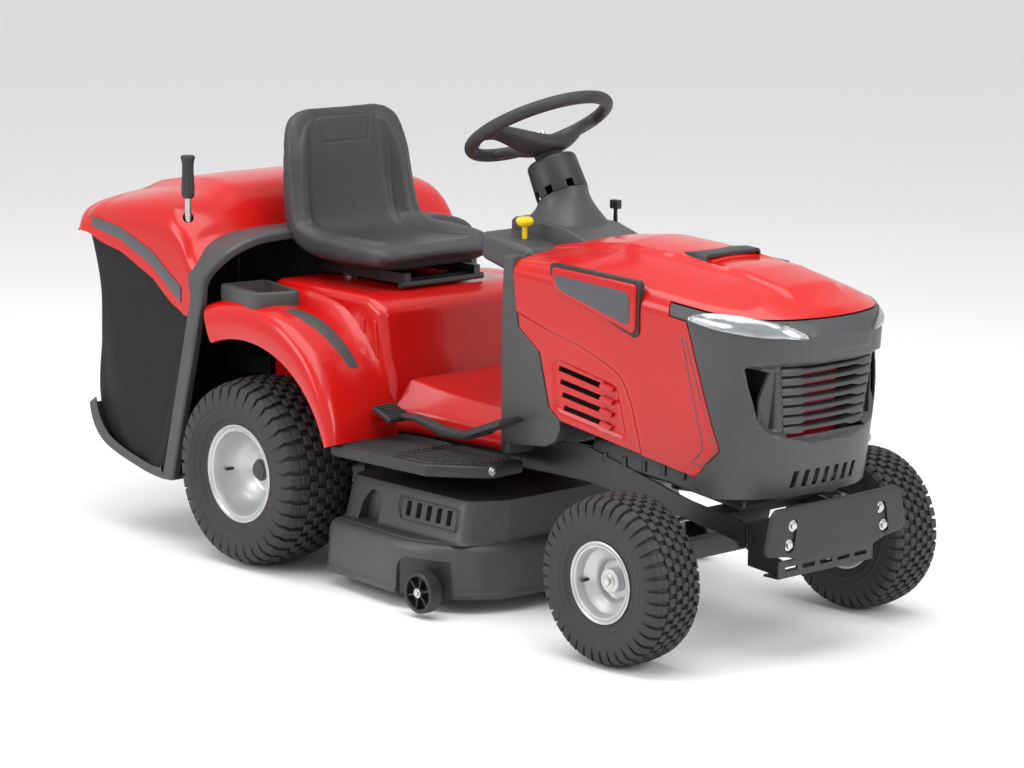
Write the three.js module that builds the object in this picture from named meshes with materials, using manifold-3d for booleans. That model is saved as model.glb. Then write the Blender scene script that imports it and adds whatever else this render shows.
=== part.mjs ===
// A rear-collecting lawn tractor, in millimetres.
// +X points forward, +Y to the driver's left and +Z up. The origin is on the ground, in the middle of the
// machine's length and width.
import * as THREE from "three";
import { mergeVertices } from "three/addons/utils/BufferGeometryUtils.js";
import Module from "manifold-3d";

const wasm = await Module();
wasm.setup();

// ---- Driving dimensions ----

const wheelbase = 1200;
const frontAxleX = 790;
const rearAxleX = frontAxleX - wheelbase;
const frontWheel = { radius: 184, width: 141, y: 380, rim: 88, bead: 82, disc: 8, hub: 26, axle: 9.2 };
const rearWheel = { radius: 223, width: 208, y: 366, rim: 116, bead: 109, disc: -6, hub: 30, axle: 12 };
const machineFront = 1060;
const gap = 0.3; // clearance between pieces that touch
const wall = 5; // thickness of the moulded covers

const kingpin = { y: 285, radius: 11.5, bore: 13.5, boss: 19, low: 197, high: 262 };
const steeringArm = { length: 100, thickness: 7 }; // both arms point straight back, so the tie rod stays square
const axlePivot = { z: 216, pin: 10, bore: 12.5 };

const wheelRim = { x: 123, z: 1055, radius: 163, grip: 14.5, lean: THREE.MathUtils.degToRad(28.8) };
const frameRail = { y: 150, thickness: 6, flange: 16 };
const hood = { halfWidth: 235 };
const dash = { front: 300, halfWidth: 228 };
const footrestTop = 340;
const fender = { halfWidth: 440, archRadius: 320 };
const deck = { x: 108, bladeY: 205, radius: 222, bottom: 34, ledge: 155, coverTop: 240, bladeRadius: 199 };
const deckWheel = { x: 231, y: 440, z: 58, radius: 47, width: 34 };
const seat = { hingeX: -205, hingeZ: 662, halfWidth: 205 };
const bag = { halfWidth: 425, pivotX: -740, pivotZ: 720, mouthX: -559, bendZ: 614, lean: 0.282, rear: -1055 };
const bagLid = { halfWidth: 430, crown: 862 };
const tippingLever = { x: -668, y: -394, rod: 8, grip: 16.5, low: 560, joint: 846, top: 940 };

const colours = {
  red: 0xc8171c,
  crimson: 0xa3081f,
  charcoal: 0x2c2e30,
  darkPlastic: 0x1b1c1d,
  blackSteel: 0x111213,
  steel: 0x9b9da0,
  silver: 0xb9bcc0,
  casting: 0x77797c,
  rubber: 0x18191a,
  vinyl: 0x1f2123,
  mesh: 0x121313,
  yellow: 0xe2b400,
  lens: 0xdfe6ea,
};

// ---- Geometry helpers ----

// A closed three.js geometry as a solid that can be joined and cut.
function solid(geometry) {
  const bare = geometry.clone();
  bare.deleteAttribute("normal");
  bare.deleteAttribute("uv");
  const merged = mergeVertices(bare, 1e-4);
  const triVerts = new Uint32Array(merged.index.array);
  return new wasm.Manifold(
    new wasm.Mesh({ numProp: 3, vertProperties: merged.attributes.position.array, triVerts }),
  );
}

function geometryOf(body) {
  const mesh = body.getMesh();
  const geometry = new THREE.BufferGeometry();
  geometry.setAttribute("position", new THREE.BufferAttribute(new Float32Array(mesh.vertProperties), 3));
  geometry.setIndex(Array.from(mesh.triVerts));
  return geometry;
}

function join(...shapes) {
  return geometryOf(shapes.map(solid).reduce((whole, next) => whole.add(next)));
}

function cut(shape, ...tools) {
  return geometryOf(tools.map(solid).reduce((whole, tool) => whole.subtract(tool), solid(shape)));
}

function common(shape, tool) {
  return geometryOf(solid(shape).intersect(solid(tool)));
}

// A box from its limits along X, Y and Z.
function block([x0, x1], [y0, y1], [z0, z1]) {
  const box = new THREE.BoxGeometry(x1 - x0, y1 - y0, z1 - z0);
  return box.translate((x0 + x1) / 2, (y0 + y1) / 2, (z0 + z1) / 2);
}

function shapeOf(points, holes = []) {
  const shape = new THREE.Shape(points.map(([a, b]) => new THREE.Vector2(a, b)));
  shape.holes = holes.map((hole) => new THREE.Path(hole.map(([a, b]) => new THREE.Vector2(a, b))));
  return shape;
}

function slab(points, depth, holes) {
  return new THREE.ExtrudeGeometry(shapeOf(points, holes), { depth, bevelEnabled: false, steps: 1 });
}

// An outline in X and Z, pulled from y0 to y1.
function alongY(points, y0, y1, holes) {
  return slab(points, y1 - y0, holes).rotateX(Math.PI / 2).translate(0, y1, 0);
}

// An outline in X and Y, pulled from z0 to z1.
function alongZ(points, z0, z1, holes) {
  return slab(points, z1 - z0, holes).translate(0, 0, z0);
}

// An outline in Y and Z, pulled from x0 to x1.
function alongX(points, x0, x1, holes) {
  const turn = new THREE.Matrix4().makeBasis(
    new THREE.Vector3(0, 1, 0),
    new THREE.Vector3(0, 0, 1),
    new THREE.Vector3(1, 0, 0),
  );
  return slab(points, x1 - x0, holes).applyMatrix4(turn).translate(x0, 0, 0);
}

// A round bar from one point to another.
function bar(from, to, radius, sides = 12) {
  const a = new THREE.Vector3(...from);
  const b = new THREE.Vector3(...to);
  const along = b.clone().sub(a);
  const geometry = new THREE.CylinderGeometry(radius, radius, along.length(), sides);
  const turn = new THREE.Quaternion().setFromUnitVectors(new THREE.Vector3(0, 1, 0), along.normalize());
  return geometry.applyQuaternion(turn).translate(...a.add(b).multiplyScalar(0.5).toArray());
}

// A profile of [radius, height] turned about the wheel axis, Y.
function turned(profile, segments) {
  return new THREE.LatheGeometry(profile.map(([r, h]) => new THREE.Vector2(r, h)), segments);
}

// Points on a circular arc, from one angle to another in degrees.
function arc(cx, cy, radius, from, to, steps) {
  return Array.from({ length: steps + 1 }, (_, i) => {
    const angle = THREE.MathUtils.degToRad(from + ((to - from) * i) / steps);
    return [cx + radius * Math.cos(angle), cy + radius * Math.sin(angle)];
  });
}

// A rectangle with round corners.
function roundedBox(x0, x1, y0, y1, radius, steps = 3) {
  return [
    ...arc(x1 - radius, y1 - radius, radius, 0, 90, steps),
    ...arc(x0 + radius, y1 - radius, radius, 90, 180, steps),
    ...arc(x0 + radius, y0 + radius, radius, 180, 270, steps),
    ...arc(x1 - radius, y0 + radius, radius, 270, 360, steps),
  ];
}

// A skin through equal rings of points, closed at both ends.
function loft(rings) {
  const count = rings[0].length;
  const positions = rings.flat(2);
  const faces = [];
  rings.slice(1).forEach((_, ring) => {
    for (let i = 0; i < count; i += 1) {
      const a = ring * count + i;
      const b = ring * count + ((i + 1) % count);
      faces.push(a, b, b + count, a, b + count, a + count);
    }
  });
  const last = (rings.length - 1) * count;
  for (let i = 1; i < count - 1; i += 1) {
    faces.push(0, i + 1, i, last, last + i, last + i + 1);
  }
  const geometry = new THREE.BufferGeometry();
  geometry.setAttribute("position", new THREE.Float32BufferAttribute(positions, 3));
  geometry.setIndex(faces);
  return geometry;
}

const part = new THREE.Group();

function add(name, geometry, colour, roughness = 0.5, metalness = 0) {
  const material = new THREE.MeshStandardMaterial({ color: colours[colour], roughness, metalness });
  const mesh = new THREE.Mesh(geometry, material);
  mesh.name = name;
  part.add(mesh);
  return mesh;
}

// ---- Wheels ----

function tyreProfile({ radius, width, bead }) {
  const half = width / 2;
  const seat = half * 0.7;
  return [
    [bead + gap, -seat],
    [radius * 0.74, -half],
    [radius - 12, -half + 11],
    [radius, -half + 32],
    [radius, half - 32],
    [radius - 12, half - 11],
    [radius * 0.74, half],
    [bead + gap, seat],
    [bead + gap, seat - 14],
    [radius - 18, half - 26],
    [radius - 18, 26 - half],
    [bead + gap, 14 - seat],
  ];
}

// The disc sits off the wheel's middle, towards the machine's outside.
function rimProfile({ width, rim, bead, disc, hub, axle }) {
  const edge = (width / 2) * 0.7 + 4;
  return [
    [bead, edge - 4 + gap],
    [rim, edge + gap],
    [rim, edge + 4],
    [bead - 7, edge + 2],
    [bead - 12, disc + 4],
    [hub, disc + 20],
    [axle + 2, disc + 20],
    [axle + 2, disc - 20],
    [hub, disc - 16],
    [bead - 7, disc - 3],
    [bead - 7, -edge - 2],
    [rim, -edge - 4],
    [rim, -edge - gap],
    [bead, 4 - edge - gap],
  ];
}

function addWheel(end, side, spec, x) {
  const sign = side === "left" ? 1 : -1;
  const close = (profile) => [...profile, profile[0]];
  const place = (geometry) => geometry.rotateZ(sign > 0 ? 0 : Math.PI).translate(x, sign * spec.y, spec.radius);
  add(`${end}_tyre_${side}`, place(turned(close(tyreProfile(spec)), 24)), "rubber", 0.85);
  add(`${end}_rim_${side}`, place(turned(close(rimProfile(spec)), 24)), "silver", 0.35, 0.6);
}

for (const side of ["right", "left"]) {
  addWheel("front", side, frontWheel, frontAxleX);
  addWheel("rear", side, rearWheel, rearAxleX);
}

// ---- Front axle and steering ----

const steeringSlope = new THREE.Vector3(-Math.sin(wheelRim.lean), 0, Math.cos(wheelRim.lean));

// A point on the steering column, at a distance below the wheel's centre.
function onColumn(below) {
  return [wheelRim.x - steeringSlope.x * below, 0, wheelRim.z - steeringSlope.z * below];
}

function frontAxleBeam() {
  const { y, bore, boss, low, high } = kingpin;
  const beam = join(
    block([frontAxleX - 17, frontAxleX + 17], [-y, y], [axlePivot.z - 20, axlePivot.z + 20]),
    bar([frontAxleX, -y, low], [frontAxleX, -y, high], boss, 16),
    bar([frontAxleX, y, low], [frontAxleX, y, high], boss, 16),
  );
  return cut(
    beam,
    bar([frontAxleX, -y, low - 1], [frontAxleX, -y, high + 1], bore, 16),
    bar([frontAxleX, y, low - 1], [frontAxleX, y, high + 1], bore, 16),
    bar([frontAxleX - 30, 0, axlePivot.z], [frontAxleX + 30, 0, axlePivot.z], axlePivot.bore, 16),
  );
}

function tieRodEnd(sign) {
  return [frontAxleX - steeringArm.length, sign * kingpin.y];
}

// The kingpin turns in the beam's boss, and the arm swings the tie rod behind the axle.
function knuckle(sign) {
  const { y, radius, low, high } = kingpin;
  const [tipX, tipY] = tieRodEnd(sign);
  const armTop = high + 3 + steeringArm.thickness;
  const stub = frontWheel.y + frontWheel.disc + 30;
  const direction = Math.atan2(tipY - sign * y, tipX - frontAxleX);
  const length = Math.hypot(tipX - frontAxleX, tipY - sign * y);
  const arm = alongZ(
    [...arc(0, 0, 19, 90, 270, 4), ...arc(length, 0, 14, -90, 90, 4)],
    high + 3,
    armTop,
    [arc(length, 0, 7.5, 0, -315, 7)],
  );
  arm.rotateZ(direction).translate(frontAxleX, sign * y, 0);
  return join(
    arm,
    bar([frontAxleX, sign * y, low - 8], [frontAxleX, sign * y, high + 6], radius, 16),
    block([frontAxleX - 16, frontAxleX + 16], [sign * y - 16, sign * y + 16], [low - 26, low - 3]),
    bar([frontAxleX, sign * (y - 10), frontWheel.radius], [frontAxleX, sign * stub, frontWheel.radius], frontWheel.axle),
  );
}

function tieRod() {
  const z = kingpin.high - 9;
  const [x, y] = tieRodEnd(1);
  return join(
    bar([x, -y, z], [x, y, z], 7, 10),
    ...[-1, 1].flatMap((sign) => [
      bar([x, sign * y, z - 9], [x, sign * y, z + 9], 12, 12),
      bar([x, sign * y, z], [x, sign * y, z + 26], 5.5, 8),
    ]),
  );
}

function steeringWheel() {
  const ring = new THREE.TorusGeometry(wheelRim.radius, wheelRim.grip, 6, 24);
  const inner = wheelRim.radius - 3;
  const spokes = [90, 180, 270].map((angle) =>
    alongZ([[0, -24], [inner, -16], [inner, 16], [0, 24]], -14, -2).rotateZ(THREE.MathUtils.degToRad(angle)),
  );
  const hub = alongZ(arc(0, 0, 48, 0, 345, 15), -40, 2);
  const whole = join(ring, hub, ...spokes);
  const bored = cut(whole, alongZ(arc(0, 0, 11, 0, 330, 11), -41, -12));
  return bored.rotateY(-wheelRim.lean).translate(wheelRim.x, 0, wheelRim.z);
}

function steeringShaft() {
  return join(bar(onColumn(12.5), onColumn(700), 9, 12), bar(onColumn(668), onColumn(700), 22, 12));
}

function columnCover() {
  const sleeve = turned([[50, 0], [58, 0], [61, -84], [53, -84], [50, 0]].reverse(), 20)
    .rotateX(Math.PI / 2)
    .rotateY(-wheelRim.lean)
    .translate(...onColumn(86));
  const neckSide = alongY([[60, 800], [320, 800], [320, 959], [60, 893]], -80, 80);
  return cut(sleeve, neckSide);
}

add("front_axle_beam", frontAxleBeam(), "blackSteel", 0.45, 0.3);
add("knuckle_right", knuckle(-1), "blackSteel", 0.45, 0.3);
add("knuckle_left", knuckle(1), "blackSteel", 0.45, 0.3);
add("tie_rod", tieRod(), "steel", 0.4, 0.8);
add("steering_wheel", steeringWheel(), "darkPlastic", 0.6);
add("steering_shaft", steeringShaft(), "steel", 0.4, 0.8);
add("column_cover", columnCover(), "charcoal", 0.5);

// ---- Frame ----

const railOutline = [
  [-556, 300],
  [450, 306],
  [740, 276],
  [845, 262],
  [930, 246],
  [930, 294],
  [767, 316],
  [458, 384],
  [300, 384],
  [-556, 345],
];

function frameRails() {
  const { y, thickness, flange } = frameRail;
  const web = (sign) => alongY(railOutline, sign * y - thickness / 2, sign * y + thickness / 2);
  const cross = (x, z0, z1, depth = 30) => block([x - depth / 2, x + depth / 2], [-y, y], [z0, z1]);
  const hanger = (x) => alongX([[-50, 288], [50, 288], [22, 196], [-22, 196]], x - 3, x + 3);
  const topFlange = (sign) =>
    block([-556, 300], [Math.min(sign * y, sign * (y - flange)), Math.max(sign * y, sign * (y - flange))], [303, 308]);
  return join(
    web(-1),
    web(1),
    topFlange(-1),
    topFlange(1),
    cross(-541, 302, 330),
    cross(430, 310, 340),
    cross(frontAxleX, 277, 289, 74),
    cross(915, 256, 286, 24),
    hanger(frontAxleX - 29),
    hanger(frontAxleX + 29),
    bar([frontAxleX - 40, 0, axlePivot.z], [frontAxleX + 40, 0, axlePivot.z], axlePivot.pin, 16),
  );
}

// The bumper hangs on two side cheeks, tie bars and a slotted cross channel.
function bumperBracket() {
  const cheek = (sign) =>
    alongY(
      [[930.4, 288], [930.4, 200], [1028, 192], [1028, 228], [985, 240], [1037, 262], [1037, 322], [1020, 322]],
      sign * 138 - 3,
      sign * 138 + 3,
    );
  const channel = join(
    block([1022, 1028], [-150, 150], [188, 226]),
    block([985, 1028], [-150, 150], [188, 193]),
  );
  const slots = [-110, -55, 0, 55, 110].map((y) => block([1015, 1035], [y - 19, y + 19], [203, 211]));
  const whole = join(
    cheek(-1),
    cheek(1),
    channel,
    block([930.4, 937], [-150, 150], [250, 286]),
    block([1031, 1037], [-150, 150], [268, 318]),
    bar([934, -124, 268], [1034, -124, 300], 7, 8),
    bar([934, 124, 268], [1034, 124, 300], 7, 8),
  );
  return cut(whole, ...slots);
}

function bumperPlate() {
  const outline = [
    ...arc(-168, 322, 20, 180, 90, 3),
    ...arc(168, 322, 20, 90, 0, 3),
    [190, 300],
    ...arc(158, 262, 16, 0, -90, 3),
    ...arc(-158, 262, 16, -90, -180, 3),
    [-190, 300],
  ].reverse();
  const plate = alongX(outline, 1037.4, machineFront);
  const slots = [-1, 1].map((sign) => block([1030, 1070], [sign * 146 - 5, sign * 146 + 5], [272, 316]));
  return cut(plate, block([1030, 1050], [-172, 172], [262, 330]), ...slots);
}

// The rear plate closes the frame, and its arms carry the bag's cross tube.
function rearPlate() {
  const chuteHole = block([-580, -530], [-136, 136], [374, 568]);
  const arm = (sign) =>
    alongY(
      [
        [-554, 400],
        [-554, 445],
        [-722, 445],
        [-720, 724],
        ...arc(bag.pivotX, bag.pivotZ, 20, 30, 150, 4),
        [-762, 700],
        [-762, 400],
      ],
      sign * 200 - 3,
      sign * 200 + 3,
      [arc(bag.pivotX, bag.pivotZ, 10.5, 0, -330, 11)],
    );
  return join(cut(block([-562, -556.3], [-236, 236], [250, 620]), chuteHole), arm(-1), arm(1));
}

add("frame_rails", frameRails(), "blackSteel", 0.45, 0.3);
add("bumper_bracket", bumperBracket(), "blackSteel", 0.45, 0.3);
add("bumper_plate", bumperPlate(), "charcoal", 0.5);
add("rear_plate", rearPlate(), "blackSteel", 0.45, 0.3);

// ---- Engine and drive ----

function engineBlock() {
  const fins = [0, 1, 2, 3].map((i) => block([846, 950], [-58, 58], [486 + i * 20, 494 + i * 20]));
  return join(
    alongZ(roundedBox(575, 850, -150, 150, 40), 392, 410),
    alongZ(arc(700, 0, 118, 0, 345, 23), 405, 556),
    block([790, 930], [-45, 45], [470, 570]),
    ...fins,
  );
}

function blowerShroud() {
  const outline = (inset) => [
    ...arc(700, 0, 150 - inset, 40, 320, 14),
    [880, -78 + inset],
    [978 - inset, -70 + inset],
    [978 - inset, 70 - inset],
    [880, 78 - inset],
  ];
  return cut(
    alongZ(outline(0), 470, 722),
    alongZ(outline(wall), 465, 717),
    alongZ(arc(700, 0, 70, 0, 330, 11), 700, 730),
    block([560, 640], [-160, 160], [460, 560]),
  );
}

function muffler() {
  const can = alongX(roundedBox(165, 215, 420, 520, 22), 760, 930);
  return join(can, bar([925, 190, 450], [968, 190, 436], 14, 10), bar([800, 166, 500], [800, 152, 540], 12, 8));
}

function fuelTank() {
  const body = alongX(roundedBox(-150, 150, 590, 745, 28), 435, 545);
  const hollow = alongX(roundedBox(-146, 146, 594, 741, 24), 439, 541);
  const neck = alongZ(arc(490, -80, 26, 0, 330, 11), 735, 758);
  return cut(join(body, neck), hollow, alongZ(arc(490, -80, 21, 0, 330, 11), 700, 770));
}

function battery() {
  const posts = [110, 170].map((y) => alongZ(arc(420, y, 8, 0, 300, 5), 530, 545));
  return join(block([330, 455], [60, 215], [390, 532]), ...posts);
}

function enginePulley() {
  const sheave = turned([[0, 18], [58, 18], [44, 8], [44, -2], [58, -12], [0, -12]].reverse(), 20);
  const shaft = turned([[0, 70], [12, 70], [12, -24], [0, -24]].reverse(), 12);
  return join(sheave, shaft).rotateX(Math.PI / 2).translate(642, 0, 316);
}

function transaxle() {
  return join(
    alongX(roundedBox(-112, 112, 158, 262, 24), -492, -352),
    bar([rearAxleX, -234, rearWheel.radius], [rearAxleX, 234, rearWheel.radius], 30, 14),
    block([-440, -380], [-140, 140], [255, 290]),
  );
}

function rearAxleShaft(sign) {
  const end = rearWheel.y + rearWheel.disc + 30;
  const flangeY = 245;
  return join(
    bar([rearAxleX, sign * 235, rearWheel.radius], [rearAxleX, sign * end, rearWheel.radius], rearWheel.axle, 14),
    bar([rearAxleX, sign * flangeY, rearWheel.radius], [rearAxleX, sign * (flangeY + 8), rearWheel.radius], 24, 14),
  );
}

add("engine_block", engineBlock(), "casting", 0.55, 0.6);
add("blower_shroud", blowerShroud(), "crimson", 0.4);
add("muffler", muffler(), "steel", 0.5, 0.7);
add("fuel_tank", fuelTank(), "darkPlastic", 0.6);
add("battery", battery(), "darkPlastic", 0.6);
add("engine_pulley", enginePulley(), "steel", 0.45, 0.7);
add("transaxle", transaxle(), "casting", 0.55, 0.6);
add("rear_axle_right", rearAxleShaft(-1), "steel", 0.4, 0.8);
add("rear_axle_left", rearAxleShaft(1), "steel", 0.4, 0.8);

// The duct takes the clippings from the deck, over the transaxle, to the bag.
function collectorChute() {
  const bottom = [[-566, 392], [-350, 330], [-190, 100]];
  const top = [[-190, 232], [-262, 420], [-566, 556]];
  const outer = [...bottom, ...top];
  const inner = [
    [-580, 400],
    [-352, 335],
    [-190, 107],
    [-180, 95],
    [-180, 225],
    [-194, 228],
    [-265, 415],
    [-580, 555],
  ];
  return cut(alongY(outer, -130, 130), alongY(inner, -126, 126));
}

add("collector_chute", collectorChute(), "darkPlastic", 0.6);

// ---- Hood and front ----

// Half of a cross-section: flank, shoulder and crowned top, at a station along the machine.
function hoodRing(x, halfWidth, shoulder, top, inset, floor) {
  const w = halfWidth - inset;
  const s = shoulder - inset;
  const t = top - inset;
  const half = [
    [w, floor],
    [w, s - 34],
    [w - 7, s - 10],
    [w - 24, s + (t - s) * 0.2],
    [w * 0.66, s + (t - s) * 0.66],
    [w * 0.33, s + (t - s) * 0.93],
  ];
  return [...half, [0, t], ...half.map(([y, z]) => [-y, z]).reverse()].map(([y, z]) => [x, y, z]);
}

const hoodStations = [
  [283, 785, 806],
  [400, 779, 830],
  [515, 772, 843],
  [716, 757, 829],
  [860, 745, 815],
  [960, 737, 792],
  [1030, 728, 758],
  [1062, 715, 738],
];

function hoodMass(inset, floor) {
  const skin = loft(
    hoodStations.map(([x, shoulder, top]) => hoodRing(x, hood.halfWidth, shoulder, top, inset, floor)),
  );
  const front = machineFront - inset;
  const side = hood.halfWidth - inset;
  const plan = [
    [200, -side],
    [840, -side],
    [930, -side + 12],
    ...arc(front - 96, -side + 100, 78, -68, -10, 4),
    [front, 0],
    ...arc(front - 96, side - 100, 78, 10, 68, 4),
    [930, side - 12],
    [840, side],
    [200, side],
  ];
  return common(skin, alongZ(plan, floor - 10, 900));
}

const hoodOuter = hoodMass(0, 340);
const hoodInner = hoodMass(wall, 330);

// The charcoal front starts at a raked line and lies below the red top.
const fasciaRegion = [[752, 800], [770, 752], [853, 384], [865, 350], [1100, 350], [1100, 738], [960, 742], [806, 756]];

function hoodShell() {
  const shell = cut(hoodOuter, hoodInner, block([270, 300], [-300, 300], [300, 770]));
  const lowerEdge = alongY([[200, 300], [200, 477], [304, 477], [434, 398], [853, 384], [1100, 384], [1100, 300]], -300, 300);
  const front = alongY(fasciaRegion, -300, 300);
  const dashNotch = block([270, 372], [-100, 100], [780, 860]);
  const scoopNotch = block([652, 742], [-97, 97], [806, 870]);
  const sideVent = (sign, i) =>
    alongY(
      [[430, 556 - i * 30], [560 + i * 12, 543 - i * 30], [566 + i * 12, 533 - i * 30], [440, 546 - i * 30]],
      Math.min(sign * 220, sign * 250),
      Math.max(sign * 220, sign * 250),
    );
  const vents = [-1, 1].flatMap((sign) => [0, 1, 2, 3].map((i) => sideVent(sign, i)));
  return cut(shell, lowerEdge, front, dashNotch, scoopNotch, ...vents);
}

const grilleOpening = { halfTop: 142, halfBottom: 118, top: 642, bottom: 478 };

function fascia() {
  const { halfTop, halfBottom, top, bottom } = grilleOpening;
  const region = alongY(
    fasciaRegion.map(([x, z]) => [x + (x < 900 ? gap : 0), z > 700 ? z - gap : z]),
    -300,
    300,
  );
  const shell = cut(common(hoodOuter, region), hoodInner);
  const grilleHole = alongX([[-halfBottom, bottom], [halfBottom, bottom], [halfTop, top], [-halfTop, top]], 980, 1100);
  const lampNotch = (sign) =>
    alongZ(
      sign < 0
        ? [[820, -260], [1010, -260], [1010, -165], [940, -190], [820, -200]]
        : [[820, 200], [940, 190], [1010, 165], [1010, 260], [820, 260]],
      714,
      760,
    );
  const skirt = alongY([[760, 300], [760, 384], [853, 384], [905, 356], [1100, 366], [1100, 300]], -300, 300);
  const slots = [0, 1, 2, 3, 4, 5].map((i) => block([1000, 1100], [-92 + i * 34, -78 + i * 34], [392, 424]));
  return cut(
    shell,
    grilleHole,
    lampNotch(-1),
    lampNotch(1),
    skirt,
    ...slots,
    sideIntake(-1),
    sideIntake(1),
  );
}

// The triangular air intake beside the grille.
function sideIntake(sign) {
  return alongX([[168, 630], [205, 642], [184, 520]].map(([y, z]) => [sign * y, z]), 850, 1100);
}

function grille() {
  const { halfTop, halfBottom, top, bottom } = grilleOpening;
  const inset = 0.4;
  const half = (z) => halfBottom + ((halfTop - halfBottom) * (z - bottom)) / (top - bottom) - inset;
  const outline = (margin) => [
    [-half(bottom) + margin, bottom + inset + margin],
    [half(bottom) - margin, bottom + inset + margin],
    [half(top) - margin, top - inset - margin],
    [-half(top) + margin, top - inset - margin],
  ];
  const frame = cut(alongX(outline(0), 1010, 1040), alongX(outline(7), 1000, 1050));
  const bars = [1, 2, 3, 4, 5, 6].map((i) => {
    const z = bottom + (i * (top - bottom)) / 7;
    return block([1014, 1038], [-half(z) + 2, half(z) - 2], [z - 4, z + 4]);
  });
  return join(frame, ...bars);
}

function headlight(sign) {
  const plan = (inset) => {
    const points = [
      [824 + inset, -199 - inset],
      [940, -189 - inset],
      [1006 - inset, -168 - inset],
      [1006 - inset, -215],
      [930, -224],
      [824 + inset, -231],
    ];
    return sign < 0 ? [...points].reverse() : points.map(([x, y]) => [x, -y]);
  };
  return common(alongZ(plan(0.4), 714.6, 736), hoodMass(0.5, 340));
}

function hoodScoop() {
  const outline = [[-96, 806.6], [96, 806.6], [88, 838], [-88, 838]];
  const mouth = [[-84, 813], [84, 813], [79, 832], [-79, 832]];
  return cut(alongX(outline, 653, 741), alongX(mouth, 662, 760));
}

add("hood_shell", hoodShell(), "red", 0.25);
add("fascia", fascia(), "charcoal", 0.5);
add("grille", grille(), "darkPlastic", 0.5);
add("headlight_right", headlight(-1), "lens", 0.1);
add("headlight_left", headlight(1), "lens", 0.1);
add("hood_scoop", hoodScoop(), "charcoal", 0.5);

// ---- Dash and controls ----

// A bulkhead behind the engine, a dash top and the base of the column cover.
function dashConsole() {
  const { front, halfWidth } = dash;
  const bulkhead = alongX(
    [
      [-halfWidth, 345],
      [halfWidth, 345],
      [halfWidth, 760],
      [halfWidth - 30, 790],
      [30 - halfWidth, 790],
      [-halfWidth, 760],
    ],
    232,
    front - 22,
  );
  const bulkheadHollow = block([240, 290], [-halfWidth + 8, halfWidth - 8], [330, 735]);
  const shelf = alongY([[121, 772], [230, 746], [274, 746], [274, 807], [121, 830]], -178, 178);
  const shelfHollow = alongY([[127, 760], [224, 735], [224, 806], [127, 822]], -172, 172);
  const tongue = alongY([[140, 800], [262, 780], [366, 816], [366, 826], [300, 846], [131, 857], [131, 810]], -86, 86);
  const neck = loft([
    [[135, -80, 822], [305, -80, 818], [305, 80, 818], [135, 80, 822]],
    [[126, -61, 906], [252, -61, 938], [252, 61, 938], [126, 61, 906]],
  ]);
  const throat = bar(onColumn(120), onColumn(340), 44, 12);
  const shaftWay = block([215, 285], [-60, 60], [700, 830]);
  const railWay = block([220, 300], [-156, 156], [330, 390]);
  return cut(join(bulkhead, shelf, tongue, neck), bulkheadHollow, shelfHollow, throat, shaftWay, railWay);
}

function bladeClutchKnob() {
  return turned([[0, 52], [17, 50], [21, 42], [17, 33], [6, 28], [6, 0], [0, 0]].reverse(), 14)
    .rotateX(Math.PI / 2)
    .translate(216, -128, 818);
}

function ignitionKey() {
  return join(block([174, 177], [118, 140], [838, 862]), bar([175.5, 129, 823], [175.5, 129, 840], 5, 8));
}

function throttleLever() {
  const stem = alongY([[-6, 0], [6, 0], [4, 46], [-4, 46]], -3, 3);
  return join(stem, block([-12, 12], [-8, 8], [42, 62])).translate(216, 158, 822);
}

add("dash_console", dashConsole(), "charcoal", 0.5);
add("blade_clutch_knob", bladeClutchKnob(), "yellow", 0.4);
add("ignition_key", ignitionKey(), "darkPlastic", 0.5);
add("throttle_lever", throttleLever(), "darkPlastic", 0.5);

// ---- Rear body, footrests and pedals ----

// Fenders, seat base and tunnel are one moulding, open underneath.
function rearBody() {
  const fenderTop = (inset) => [
    [-545 - (inset ? 20 : 0), 612 - inset],
    [-430, 618 - inset],
    [-318, 612 - inset],
    [-232, 578 - inset],
    [-158, 506 - inset],
    [-108, 424 - inset],
    [-84 - inset, 352 - (inset ? 20 : 0)],
  ];
  const fenders = alongY([...fenderTop(0), [-545, 352]].reverse(), -fender.halfWidth, fender.halfWidth);
  const fenderHollow = alongY(
    [...fenderTop(wall), [-565, 332]].reverse(),
    wall - fender.halfWidth,
    fender.halfWidth - wall,
  );
  const baseSide = (inset) => [
    [-535 - 4 * inset, 500],
    [-535 - 4 * inset, 652 - inset],
    [-180 - inset, 648 - inset],
    [-128 - inset, 620 - inset],
    [-112 - inset, 520 - inset],
    [-60, 452 - inset],
    [231 + 2 * inset, 420 - inset],
    [231 + 2 * inset, 343 - inset],
    [-535 - 4 * inset, 343 - inset],
  ];
  const base = alongY(baseSide(0).reverse(), -246, 246);
  const baseHollow = alongY(baseSide(wall).reverse(), wall - 246, 246 - wall);
  const tunnelTrim = (sign) =>
    block([-60, 260], sign < 0 ? [-260, -202] : [202, 260], [330, 470]);
  const wheelWell = bar(
    [rearAxleX, -fender.halfWidth - 10, rearWheel.radius],
    [rearAxleX, fender.halfWidth + 10, rearWheel.radius],
    fender.archRadius,
    40,
  );
  const well = cut(wheelWell, block([-800, 0], [-247, 247], [0, 700]));
  const leverSlot = block([-345, -255], [336, 354], [560, 640]);
  const shell = cut(join(fenders, base), fenderHollow, baseHollow, ...[-1, 1].map(tunnelTrim));
  const wellSides = [-1, 1].map((sign) =>
    common(well, block([-900, 100], sign < 0 ? [-500, -247] : [247, 500], [0, 700])),
  );
  const rearOpening = block([-560, -530], [-240, 240], [300, 640]);
  const underside = block([-600, -60], [-500, 500], [300, 353.9]);
  return cut(shell, ...wellSides, leverSlot, underside, rearOpening);
}

function storageTray() {
  const top = [[-545, -398], [-372, -430], [-336, -318], [-530, -268]];
  const inner = [[-536, -392], [-378, -421], [-346, -323], [-523, -276]];
  return cut(alongZ(top, 619, 652), alongZ(inner, 624, 660));
}

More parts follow.
